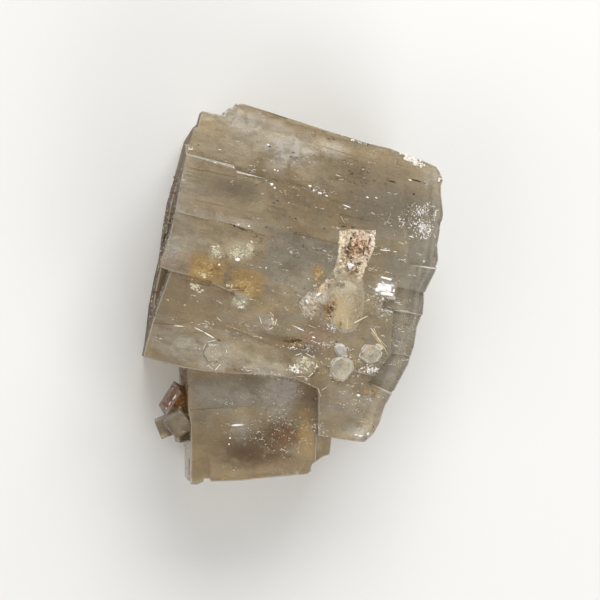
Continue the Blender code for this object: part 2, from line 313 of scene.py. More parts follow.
CLOUDS_AND_PAINTED_LIGHT: tuple[Patch, ...] = (
    *tints(
        (-4, 31, 15, 5, Tone.PALE, 0.5, 0.7), (-1, 28.4, 6.5, 4, Tone.MIST, 0.7, 0.8),
        (-10, 34.5, 6, 3, Tone.MIST, 0.4, 0.8), (5, 24, 12, 3.2, Tone.CREAM, 0.45, 0.8),
        (-14, 28.6, 8, 3.6, Tone.CREAM, 0.4, 0.6, 14, 0.6), (19, 22, 13, 7, Tone.BROWN, 0.6, 0.7),
        (9, 17, 10, 6, Tone.BROWN, 0.55, 0.7), (-15, 20.6, 9.5, 4.4, Tone.CREAM, 0.25, 0.5, 14, 0.4),
        (-11.5, 20.4, 6, 4, Tone.BROWN, 0.6, 0.8), (-12.2, 20.8, 1.8, 1.3, Tone.UMBER, 0.5, 0.9, 6),
        (-9, 24, 3.6, 1.1, Tone.BROWN, 0.8, 0.6, 6, 0.5), (-16.4, 16.6, 5, 2, Tone.ROSE, 0.35, 0.9, 8),
        (-22.2, 20, 2.4, 9, Tone.PALE, 0.4, 0.5), (-13.4, 14.9, 9.5, 1.2, Tone.PALE, 0.4, 0.5, 8, 0.5),
        (-10.6, 14.2, 2.4, 0.9, Tone.CREAM, 0.8, 0.8, 6, 0.5), (26, 6, 8, 18, Tone.DUSK),
        (26, 7, 7.5, 20, Tone.CLEAR_GREY, 0.8, 0.5), (25, 15, 5, 4.6, Tone.MIST, 0.3, 0.9),
        (20, 17, 12, 8, Tone.SLATE, 0.8, 0.6), (24, 16, 5, 4, Tone.SLATE, 0.7, 0.6),
        (16, 26, 12, 3, Tone.BROWN, 0.6, 0.6), (27.6, 24, 3, 3, Tone.MIST, 0.3, 0.7),
        (17, 23.5, 9, 4, Tone.DUSK, 0.6, 0.7), (25, 17, 7, 7, Tone.DUSK, 0.6, 0.7),
        (-13, 21, 8, 5, Tone.DUSK, 0.4, 0.7), (-6, -2.6, 4.6, 2.2, Tone.OCHRE, 0.35, 0.9),
        # The butter patch at (-5, -14.2) is partly the cream tone along the upper block's lower edge and
        # partly painted light that lifts the shade there.
        (-5, -14.2, 6, 2.4, Tone.BUTTER, 0.85, 0.7), (-23, -11, 6, 3, Tone.PALE, 0.5, 0.7),
        (-23.4, 9.6, 3.4, 2.4, Tone.CREAM, 0.55, 0.7), (9, 24, 8, 4, Tone.BROWN, 0.35, 0.8),
        # The mist patch at (13.2, -27.6) is painted highlight: the bluish-white flash at the lower right
        # corner.
        (13.2, -27.6, 3.6, 1.6, Tone.MIST, 0.8, 0.8, 6), (-11, -12.9, 6, 2.4, Tone.PALE, 0.7, 0.8),
        (-22, 9, 5, 4, Tone.CREAM, 0.35, 0.8), (21, -14, 7, 14, Tone.CLEAR_GREY, 0.7, 0.6),
        (2, 6.4, 9, 5.6, Tone.CLEAR_GREY, 0.55, 0.3, 14, 0.25), (-21, 10.6, 5, 3, Tone.PALE, 0.35, 0.8),
        (-18, 9, 3, 2, Tone.BROWN, 0.4, 0.9), (-21.6, 6.6, 5.6, 1.9, Tone.BLUSH, 0.45, 0.4, 14, 0.3),
        (-20, -1, 8, 5.6, Tone.BROWN, 0.55, 0.5, 14, 0.5), (-23, -9.4, 8, 3.6, Tone.PALE, 0.55, 0.7),
        (-9, -10.6, 8, 3.4, Tone.CREAM, 0.35, 0.9), (4, -12, 12, 4, Tone.BROWN, 0.35, 0.9),
        (14, -23, 8, 7, Tone.PALE, 0.35, 0.8), (11, -17, 5, 3, Tone.BROWN, 0.3, 0.9),
        (-17.6, 5.2, 4.2, 3.2, Tone.OCHRE, 1, 0.8, 5, 0.5), (-9.6, 2.6, 4.2, 3, Tone.OCHRE, 1, 0.9, 5, 0.6),
        (-18.6, 4.2, 2.4, 1.2, Tone.GOLD, 1, 0.9, 4), (-16.2, 5.4, 1.6, 1.6, Tone.AMBER, 0.75, 1, 4),
        (-10.6, 1.1, 2.4, 0.7, Tone.AMBER, 0.9, 0.8, 4), (-9.2, 0.4, 1.2, 2.4, Tone.GOLD, 1, 0.6, 4),
        (-10.8, 2.6, 2.4, 1.4, Tone.GOLD, 0.9, 1, 4), (-17, 6.4, 2.6, 1.2, Tone.GOLD, 0.7, 1, 4),
        (-11, -1, 1.7, 1.7, Tone.IVORY, 1, 0.5, 4, 0.4), (-15.9, 8.4, 2, 2.4, Tone.CREAM, 1, 1, 4),
        (-11, 8.8, 3.4, 3, Tone.CREAM, 1, 0.8, 5), (-9.2, 9, 1.2, 2.4, Tone.BUTTER, 1, 0.7, 4),
        (-11.4, 9, 1.2, 0.7, Tone.BROWN, 0.8, 0.7, 4),
        (-13.8, 8, 0.5, 2, Tone.RUST, 0.75, 0.8, 4, 0, 30, 0.3), (3.6, -8.2, 4.6, 3.8, Tone.ROSE, 0.85, 1, 5),
        (-0.6, -9.4, 3.4, 1.6, Tone.ORANGE, 0.6, 1, 5), (4.4, 4.4, 2.2, 2.8, Tone.OCHRE, 0.9, 1, 4),
        (1.8, -13.6, 3.6, 3, Tone.CREAM, 0.9, 1, 5), (-16, -11.8, 3.1, 3.4, Tone.PALE, 0.75, 0.5, 4, 0.35),
        (-5.6, -5, 2.4, 2.2, Tone.PALE, 0.7, 0.5, 4), (-4.5, -4, 1.5, 1.2, Tone.ROSE, 0.9, 0.6, 4),
        (-5.4, -6.6, 1.3, 0.8, Tone.MIST, 0.9, 0.6, 4), (1.9, -13.8, 3, 3, Tone.PALE, 0.6, 0.9, 4),
        # The mist patch at (18, 1.4) paints the white flash round (18, 1): partly a pale inner flaw, partly
        # painted highlight.
        (16, -19, 1.6, 1.2, Tone.OCHRE, 0.5, 1, 4), (18, 1.4, 2.6, 2, Tone.MIST, 0.5, 0.8, 4, 0.5)),
    *tints(
        (-10, -19.2, 11, 3.4, Tone.CLEAR_GREY, 0.6, 0.4, 20, 0.3),
        # The blush and mist patches at (-2, -19) and (-3, -18.6) are partly the lower block's pale pink tone
        # and partly painted light that lifts the shadow cast by the upper block's step.
        (-14, -19.6, 9, 4, Tone.MIST, 0.3, 0.7, 20), (-2, -19, 5.4, 4, Tone.BLUSH, 1, 0.6, 20),
        (-3, -18.6, 4.4, 2.6, Tone.MIST, 0.8, 0.9, 20), (-18, -30, 5, 8, Tone.BROWN, 0.8, 0.8, 20),
        (-11, -27.4, 3.4, 3.4, Tone.MIST, 0.7, 0.8, 9), (-2, -29, 8, 8, Tone.UMBER, 0.5, 1, 20),
        (2.6, -27, 2.6, 7, Tone.OCHRE, 0.65, 0.8, 8), (-2, -28, 4.4, 3.4, Tone.RUST, 0.6, 1, 8),
        (-5.4, -33.6, 9, 3, Tone.UMBER, 0.6, 0.8, 20), (-9.6, -31.4, 9.4, 5.4, Tone.SMOKE, 0.85, 0.7, 20),
        (-7, -35.4, 15, 3.4, Tone.BROWN, 0.8, 0.8, 20), (-15, -30, 9, 8, Tone.BROWN, 0.85, 0.8, 12),
        (-21.8, -17, 1.8, 5, Tone.AMBER, 0.9, 0.5, 8, 0, 17.5, 0),
        (-24, -20.2, 4.4, 4.4, Tone.HONEY, 1, 0.15, 8, 0.2, 17.5, 0.3),
        (-23.2, -25, 2.9, 2.8, Tone.DUSK, 0.7, 0.4, 9, 0.3, 20, 0.3),
        (-26.2, -25.8, 2.2, 2.6, Tone.SMOKE, 0.6, 0.3, 8, 0.3, 17.5, 0.3),
        (-22, -28.6, 2.6, 2.2, Tone.SMOKE, 0.9, 0.3, 8, 0.3, 17, 0.3),
        (-9, -31, 9, 4.6, Tone.SMOKE, 0.6, 0.8, 20),
        # The mist patch at (-1, -19.2) is partly pale tone and partly painted light that lifts the step's
        # shadow.
        (-1, -19.2, 3.6, 3, Tone.MIST, 0.8, 0.8, 20),
        z=LOWER_FRONT, turn=SECOND_CLEAVAGE),
    *tints(
        (24, 17, 8, 8, Tone.DUSK, 0.35, 0.7), (16, 24.6, 8, 3.4, Tone.DUSK, 0.3, 0.8),
        # The mist patch at (-6, -15.2) and the cream patch at (-6, -14.4) below are partly the cream tone
        # along the upper block's lower edge and partly painted light that lifts the shade there.
        (-6, -15.2, 5.4, 1.9, Tone.MIST, 0.7, 0.8, 6), (-25, 9, 2.6, 3.6, Tone.MIST, 0.5, 0.8),
        (-12.7, -11, 2.6, 2.6, Tone.CREAM, 0.6, 0.8), (-4, 25.4, 2.8, 2, Tone.PALE, 0.6, 0.8),
        (7.3, 29, 3.4, 2, Tone.PALE, 0.6, 0.8), (1.4, 3, 3.4, 2.8, Tone.CREAM, 0.4, 0.9),
        (-16, 32, 3.4, 3, Tone.BROWN, 0.5, 0.8), (2, 33, 6, 2, Tone.BROWN, 0.45, 0.8),
        (1, -10.8, 4.6, 1.9, Tone.DUSK, 0.75, 0.8), (-0.8, 5, 3.4, 2, Tone.DUSK, 0.6, 0.7),
        (-11.6, 21, 6.6, 2.7, Tone.DUSK, 0.7, 0.7), (21.6, 5.4, 7, 3.8, Tone.SLATE, 0.75, 0.6),
        (-6, -14.4, 7.4, 2.6, Tone.CREAM, 0.7, 0.6), (-13.4, 9.4, 6.4, 3.2, Tone.CREAM, 0.4, 0.8),
        (21.6, 25.2, 4.6, 2.6, Tone.DUSK, 0.5, 0.7), (7.6, 29, 4.4, 2.4, Tone.PALE, 0.6, 0.7)),
    *tints(
        (-9.4, -32.2, 7.6, 3, Tone.UMBER, 0.75, 0.5, 20), (-3.2, -21.6, 5.2, 4.8, Tone.PALE, 0.65, 0.7, 20),
        (-18.8, -23.6, 2.8, 3.2, Tone.DUSK, 0.7, 0.6, 8),
        z=LOWER_FRONT, turn=SECOND_CLEAVAGE),
    *tints(
        (27, 17, 4, 4, Tone.SLATE, 0.5, 0.6), (3.6, -11, 2.6, 2, Tone.DUSK, 0.5, 0.8),
        (-16.4, -11.4, 2.8, 3.2, Tone.CREAM, 0.8, 0.6, 4),
        (-28, 14, 9, 26, Tone.SMOKE, 1, 0.6, 28, 0, 7, 0.22),
        (-28, -2, 8, 18, Tone.BROWN, 1, 0.6, 28, 0, 7, 0.1)),
)


@dataclass(frozen=True)
class HaliteFinish:
    """Clear, faintly hazy, smoky salt with patches of colour, fine growth lines and bright rims. Some patches
    are painted light, and the pale rims are partly wear and partly painted highlight.
    """

    clearness: float = 0.71
    ior: float = 1.544
    absorption: Colour = (0.82, 0.72, 0.54)
    density: float = 16.0
    body: Colour = (0.68, 0.575, 0.39)
    body_dark: Colour = (0.45, 0.355, 0.22)
    whitening_and_highlight: Colour = (0.93, 0.90, 0.82)
    warm: Colour = (0.62, 0.45, 0.25)
    cool: Colour = (0.60, 0.585, 0.54)
    grime: Colour = (0.16, 0.10, 0.05)
    grime_light: Colour = (0.46, 0.36, 0.22)
    broad_cell: Place = (14.0, 9.0, 20.0)
    warm_cell: Place = (6.0, 3.4, 8.0)
    warm_place: Place = (31.0, 7.0, 3.0)
    ragged_cell: Place = (3.2, 2.0, 3.2)
    torn_cell: Place = (1.0, 0.7, 1.0)
    fine_cell: Place = (0.5, 0.34, 0.5)
    streak_cell: Place = (3.4, 0.26, 3.0)
    grain_cell: Place = (0.6, 0.38, 0.6)
    dirt_cell: Place = (0.8, 2.6, 0.6)
    line_cell: Place = (2.4, 0.5, 3.0)
    small_patch: float = 2.7
    wide_patch: float = 6.0
    polish: Point = (0.10, 0.28)
    grimy_roughness: float = 0.7
    relief: float = 0.05

    def make(self) -> bpy.types.Material:
        """Return the material."""
        sheet = Sheet("halite")
        broad = sheet.noise(self.broad_cell, 5.0, 0.55, 0.5)
        colour = sheet.mix(sheet.span(broad, 0.38, 0.62), self.body, self.body_dark)
        warm = sheet.noise(self.warm_cell, 6.0, 0.62, 0.8, self.warm_place)
        colour = sheet.mix(sheet.span(warm, 0.50, 0.68, 0.0, 0.4), colour, self.warm)
        colour = sheet.mix(sheet.span(warm, 0.48, 0.34, 0.0, 0.45), colour, self.cool)
        ragged = sheet.noise(self.ragged_cell, 6.0, 0.62, 0.6)
        torn = sheet.noise(self.torn_cell, 5.0, 0.65, 0.8)
        fine_torn = sheet.noise(self.fine_cell, 5.0, 0.7, 0.9)
        # The patches include painted light, lifted shadows and flashes of reflected light, besides clouds and
        # stains.
        for patch in CLOUDS_AND_PAINTED_LIGHT:
            wide = max(patch.half_x, patch.half_y)
            edge = fine_torn if wide < self.small_patch else torn if wide < self.wide_patch else ragged
            colour = self.tinted(sheet, colour, patch, edge)
        streaks = sheet.noise(self.streak_cell, 3.0, 0.6)
        grain = sheet.noise(self.grain_cell, 5.0, 0.75)
        light = sheet.times(sheet.span(ragged, 0.36, 0.66, 0.86, 1.15),
                            sheet.span(streaks, 0.30, 0.72, 0.93, 1.08))
        colour = sheet.scale(colour, sheet.times(light, sheet.span(grain, 0.30, 0.70, 1.22, 0.80)))
        dirt = sheet.noise(self.dirt_cell, 5.0, 0.75, turn=0.0)
        grimy = sheet.attribute("grimy")
        dirty = sheet.mix(sheet.span(dirt, 0.46, 0.60), self.grime, self.grime_light)
        colour = sheet.mix(sheet.times(grimy, sheet.span(dirt, 0.30, 0.50, 0.75, 1.0)), colour, dirty)
        # Bevelled rims are painted pale: partly wear, partly painted highlight.
        whitening_and_highlight = sheet.times(sheet.attribute("whitening_and_highlight"), sheet.span(ragged, 0.25, 0.55, 0.6))
        colour = sheet.mix(whitening_and_highlight, colour, self.whitening_and_highlight)
        lines = sheet.noise(self.line_cell, 4.0, 0.6)
        rough = sheet.math("MAXIMUM", sheet.span(lines, 0.3, 0.7, *self.polish),
                           sheet.times(grimy, self.grimy_roughness))
        sheet.bump(sheet.math("ADD", streaks, sheet.times(grain, 0.5)), self.relief, 0.6)
        sheet.set(Base_Color=colour, Roughness=rough, Transmission_Weight=self.clearness, IOR=self.ior)
        sheet.absorb(self.absorption, self.density)
        return sheet.material

    @staticmethod
    def tinted(sheet: Sheet, colour: Socket, patch: Patch, ragged: Socket) -> Socket:
        """Return the colour with one patch laid over it.

        Args:
            sheet: The material's node tree.
            colour: The colour so far.
            patch: The patch to add.
            ragged: The noise that breaks up the patch's edge.

        Returns:
            The new colour.
        """
        size = (patch.half_x, patch.half_y, patch.depth)
        place = sheet.mapped((patch.x, patch.y, patch.z), size, patch.turn)
        broken = sheet.span(ragged, 0.34, 0.64, 1.0 - patch.ragged, 1.0 + patch.ragged)
        shape = sheet.box(place, patch.edge) if patch.edge else sheet.ball(place)
        share = sheet.span(sheet.times(shape, broken), 0.05, 0.75, 0.0, patch.strength)
        return sheet.mix(share, colour, patch.tone.value)


@dataclass(frozen=True)
class GrainFinish:
    """An earthy, waxy or frosted finish: two colours in a noise, with spots, tinted patches and a bump."""

    name: str
    light: Colour
    dark: Colour
    spot: Colour
    grain: float
    roughness: float
    spot_share: float = 0.35
    relief: float = 0.12
    clearness: float = 0.0
    patches: tuple[Patch, ...] = ()
    crack_cell: float = 0.0
    crack_place: Place = (12.6, 9.0, 31.0)
    crack_reach: Place = (5.0, 7.0, 9.0)
    spot_size: float = 0.45
    spot_place: Place = (3.0, 5.0, 1.0)
    ior: float = 1.5

    def make(self) -> bpy.types.Material:
        """Return the material."""
        sheet = Sheet(self.name)
        broad = sheet.noise((self.grain,) * 3, 5.0, 0.6, 0.3)
        colour = sheet.mix(sheet.span(broad, 0.35, 0.65), self.light, self.dark)
        for patch in self.patches:
            colour = HaliteFinish.tinted(sheet, colour, patch, broad)
        if self.crack_cell:
            colour = sheet.mix(self.cracks(sheet, broad), colour, Tone.UMBER.value)
        spots = sheet.noise((self.grain * self.spot_size,) * 3, 4.0, 0.7, 0.0, self.spot_place, 0.0)
        low = 0.70 - self.spot_share * 0.4
        colour = sheet.mix(sheet.span(spots, low, low + 0.08), colour, self.spot)
        # Faces with a pale share turn whitish: partly pale salt and wear, partly painted highlight on bevelled
        # edges.
        colour = sheet.mix(sheet.attribute("whitening_and_highlight"), colour, PALE_SALT_AND_HIGHLIGHT)
        rough = sheet.span(broad, 0.3, 0.7, self.roughness, min(self.roughness + 0.2, 1.0))
        sheet.bump(spots, self.relief, 0.8)
        sheet.set(Base_Color=colour, Roughness=rough, IOR=self.ior, Transmission_Weight=self.clearness)
        return sheet.material

    def cracks(self, sheet: Sheet, broad: Socket) -> Socket:
        """Return the share of fine dry cracks, which run between long cells near one place.

        Args:
            sheet: The material's node tree.
            broad: The noise that breaks the cracks off.

        Returns:
            The share.
        """
        size = (self.crack_cell * 0.7, self.crack_cell * 1.7, self.crack_cell)
        gaps = sheet.cells(sheet.mapped(size=size, turn=MAIN_CLEAVAGE + 0.1))
        share = sheet.times(sheet.span(gaps, 0.02, 0.09, 0.9, 0.0), sheet.span(broad, 0.42, 0.52))
        near = sheet.ball(sheet.mapped(self.crack_place, self.crack_reach))
        return sheet.times(share, sheet.span(near, 0.05, 0.4))


SEDIMENT = GrainFinish(
    "sediment", (0.76, 0.66, 0.50), (0.44, 0.33, 0.21), (0.20, 0.115, 0.055), 0.9, 0.7, 0.26, 0.35,
    patches=tints(
        (10.6, -3, 6, 7, Tone.DUSK, 1, 0.15, 8, 0.25), (12.6, 9.4, 1.9, 3.6, Tone.SALMON, 0.6, 0.8, 6),
        (15, 9.8, 1.2, 4.4, Tone.BLUSH, 1, 0.4, 6), (16, 11.4, 0.8, 2.6, Tone.IVORY, 1, 0.6, 6),
        (10.4, 8.6, 1.2, 3.4, Tone.OLIVE, 0.9, 0.9, 6), (8.9, 10.2, 1.3, 4.2, Tone.CREAM, 0.95, 0.3, 6),
        (14, 12, 3, 1.2, Tone.BLUSH, 0.7, 0.7, 6), (7.8, 4.2, 4, 2.6, Tone.DUSK, 0.95, 0.6, 6),
        (6.6, 4.6, 1.2, 2.4, Tone.SILVER, 0.8, 0.8, 6), (3, -1, 4.4, 3.4, Tone.SILVER, 0.9, 0.5, 6),
        (3.6, -2.4, 3, 1.8, Tone.DUSK, 0.9, 0.8, 6), (3.4, 1, 1.9, 1.6, Tone.DUSK, 0.8, 0.8, 6),
        (11.3, 4.2, 2.4, 1.9, Tone.OLIVE, 0.85, 0.5, 6), (11.2, 4.4, 2.6, 1, Tone.UMBER, 0.5, 0.9, 6),
        (5, -3.4, 2, 1.8, Tone.AMBER, 0.6, 0.8, 6), (4.6, 1.8, 1, 1.2, Tone.OCHRE, 0.9, 0.8, 6),
        (13.2, 4.8, 1, 2.4, Tone.CREAM, 0.8, 0.5, 6),
        (6, -3.2, 1.3, 2.6, Tone.AMBER, 0.85, 0.6, 6)), crack_cell=1.1)
CRUMB = GrainFinish(
    "crumb", (0.78, 0.68, 0.52), (0.48, 0.36, 0.23), (0.90, 0.85, 0.74), 0.7, 0.6, 0.3, 0.2, 0.0,
    tints(
        (12.4, 9.4, 1.8, 3.4, Tone.SALMON, 0.8, 0.9, 6), (15.2, 9.8, 1.4, 4.4, Tone.BLUSH, 0.9, 0.7, 6),
        (16, 11.4, 0.8, 2.6, Tone.MIST, 1, 0.6, 6), (10.4, 8.6, 1.2, 3, Tone.OLIVE, 0.6, 1, 6)))
GUEST = GrainFinish(
    "guest_salt", (0.74, 0.62, 0.42), (0.54, 0.42, 0.25), (0.86, 0.80, 0.64), 0.8, 0.25, 0.4, 0.07, 0.5,
    patches=tints(
        (13, -2, 2.8, 7, Tone.BROWN, 0.9, 0.7, 8), (10.4, 1.2, 3, 0.9, Tone.IVORY, 0.6, 0.9, 8, 0, 30, 0.5),
        (8.4, -3.2, 3.4, 3.6, Tone.GOLD, 0.5, 1, 8), (7, -2.8, 1.4, 3.4, Tone.AMBER, 0.9, 1, 8),
        (9.6, -6.2, 3.4, 1.6, Tone.OCHRE, 0.8, 1, 8), (9, -6, 0.3, 1.6, Tone.SMOKE, 0.7, 1, 8, 0, 30, 0),
        (10.3, -5.8, 0.3, 1.6, Tone.BUTTER, 0.7, 1, 8, 0, 30, 0),
        (8.4, 2.3, 2.4, 1.2, Tone.OLIVE, 0.9, 1, 8)))
CREAM_SALT = GrainFinish(
    "cream_salt", (0.82, 0.74, 0.54), (0.46, 0.39, 0.27), (0.97, 0.93, 0.80), 0.6, 0.22, 0.4, 0.06, 0.55,
    tints(
        (14.2, -10.8, 1.4, 1.2, Tone.BLUSH, 0.6, 0.9), (9.4, -15.8, 1.6, 1.6, Tone.CREAM, 0.6, 0.9),
        (15.8, -12.2, 1.4, 1.2, Tone.SLATE, 0.5, 0.9), (13.4, -11.8, 0.5, 0.7, Tone.RUST, 0.6, 0.8),
        (8.8, -14, 1.9, 1.5, Tone.SLATE, 0.5, 0.9)))
LILAC_SALT = GrainFinish(
    "lilac_salt", (0.74, 0.70, 0.66), (0.52, 0.48, 0.45), (0.93, 0.91, 0.87), 0.8, 0.25, 0.3, 0.04, 0.5)
# Thin pale slivers round the small crystals: partly pale salt, partly painted edge highlight.
RIM_SALT_AND_HIGHLIGHT = GrainFinish(
    "rim_salt_and_highlight", (0.93, 0.90, 0.80), (0.80, 0.75, 0.62), (0.97, 0.96, 0.92), 0.7, 0.3, 0.3, 0.02)
CLAY = GrainFinish(
    "orange_clay", (0.55, 0.37, 0.15), (0.30, 0.165, 0.06), (0.74, 0.60, 0.36), 0.7, 0.6, 0.35, 0.08, 0.3)
GOLDEN = GrainFinish(
    "golden_flake", (0.88, 0.64, 0.28), (0.50, 0.30, 0.09), (0.95, 0.86, 0.58), 0.9, 0.25, 0.35, 0.03, 0.5)
BUTTERY = GrainFinish(
    "butter_flake", (0.95, 0.88, 0.64), (0.76, 0.66, 0.42), (0.98, 0.96, 0.88), 0.8, 0.22, 0.4, 0.03, 0.4)
CHALK = GrainFinish(
    "chalky_crust", (0.88, 0.85, 0.78), (0.70, 0.66, 0.58), (0.16, 0.13, 0.10), 0.6, 0.85, 0.28, 0.15)
# White flecks: partly bright flaws, partly painted glints.
GLINT = GrainFinish(
    "bright_flaw_and_glint", (0.95, 0.94, 0.92), (0.80, 0.78, 0.75), (0.98, 0.97, 0.95), 0.8, 0.18, 0.3, 0.02)
# Pale flecks: partly pale flaws and scratches, partly painted glints.
SPARK = GrainFinish(
    "pale_flaw_and_glint", (0.86, 0.82, 0.72), (0.66, 0.61, 0.50), (0.96, 0.94, 0.90), 0.7, 0.2, 0.3, 0.02, 0.25)
RUSTY = GrainFinish(
    "amber_film", (0.46, 0.19, 0.04), (0.15, 0.05, 0.01), (0.66, 0.36, 0.12), 0.9, 0.5, 0.3, 0.03, 0.3)
HAZE = GrainFinish(
    "hazy_flaw", (0.90, 0.88, 0.83), (0.80, 0.77, 0.70), (0.95, 0.94, 0.92), 0.8, 0.3, 0.3, 0.02, 0.7)
# Dark flecks: partly dark fluid inclusions and pits, partly painted small shadows beside the glints.
FLUID = GrainFinish(
    "dark_fluid_and_shadow", (0.045, 0.03, 0.02), (0.02, 0.013, 0.009), (0.14, 0.09, 0.05), 0.5, 0.2, 0.2, 0.02)
GRIME = GrainFinish(
    "wall_grime", (0.17, 0.11, 0.06), (0.06, 0.035, 0.02), (0.30, 0.22, 0.14), 0.7, 0.7, 0.3, 0.08)
SEAM = GrainFinish(
    "brown_seam", (0.36, 0.19, 0.08), (0.16, 0.085, 0.035), (0.48, 0.30, 0.16), 0.6, 0.7, 0.3, 0.08)
STRAW = GrainFinish(
    "straw_fibre", (0.74, 0.64, 0.44), (0.58, 0.46, 0.26), (0.86, 0.80, 0.66), 0.6, 0.45, 0.3, 0.03)


@dataclass(frozen=True)
class FloorFinish:
    """Plain pale paper."""

    colour: Colour = (0.74, 0.735, 0.72)

    def make(self) -> bpy.types.Material:
        """Return the material."""
        sheet = Sheet("floor_paper")
        sheet.set(Base_Color=rgba(self.colour), Roughness=0.9)
        return sheet.material


# ---- mesh helpers ----
def finished(name: str, bm: Shape, material: bpy.types.Material, smooth: bool = False,
             ) -> bpy.types.Object:
    """Turn a bmesh drawn in millimetres into an object at the origin, dressed and in metres.

    Args:
        name: The object's name.
        bm: The mesh, which is freed.
        material: Its material.
        smooth: Whether its faces are shaded smooth.

    Returns:
        The object.
    """
    for face in scaled(bm, MM).faces:
        face.smooth = smooth
    mesh = bpy.data.meshes.new(name)
    bm.to_mesh(mesh)
    bm.free()
    mesh.materials.append(material)
    obj = bpy.data.objects.new(name, mesh)
    bpy.context.scene.collection.objects.link(obj)
    return obj


def node_copy(node: str) -> Shape:
    """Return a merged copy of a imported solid, in millimetres, with its flat faces whole again."""
    bm = bmesh.new()
    bm.from_mesh(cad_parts[node].data)
    return made_whole(scaled(bm, 1 / MM), 0.001, 0.2)


def made_whole(bm: Shape, weld: float, flat: float) -> Shape:
    """Merge a mesh's corners within a distance, join its faces within an angle in degrees, and return it."""
    bmesh.ops.remove_doubles(bm, verts=bm.verts, dist=weld)
    bmesh.ops.dissolve_limit(bm, angle_limit=math.radians(flat), verts=bm.verts, edges=bm.edges)
    return bm


def raised_block(bm: Shape, outline: Sequence[Point], floor: float) -> list[Face]:
    """Draw an outline at a height and extrude a lid from it.

    Args:
        bm: The mesh to draw in.
        outline: The corners in plan.
        floor: The height of the outline.

    Returns:
        The lid, which still lies at the height of the outline.
    """
    base = bm.faces.new([bm.verts.new((x, y, floor)) for x, y in outline])
    raised = bmesh.ops.extrude_face_region(bm, geom=[base])["geom"]
    return [part for part in raised if isinstance(part, Face)]


def adopt(obj: bpy.types.Object, slot: str, *nodes: str) -> None:
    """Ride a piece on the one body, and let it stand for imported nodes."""
    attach(obj, BODY)
    if nodes:
        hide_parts(*nodes)
    LOG.info("%s: %d faces", obj.name, len(obj.data.polygons))


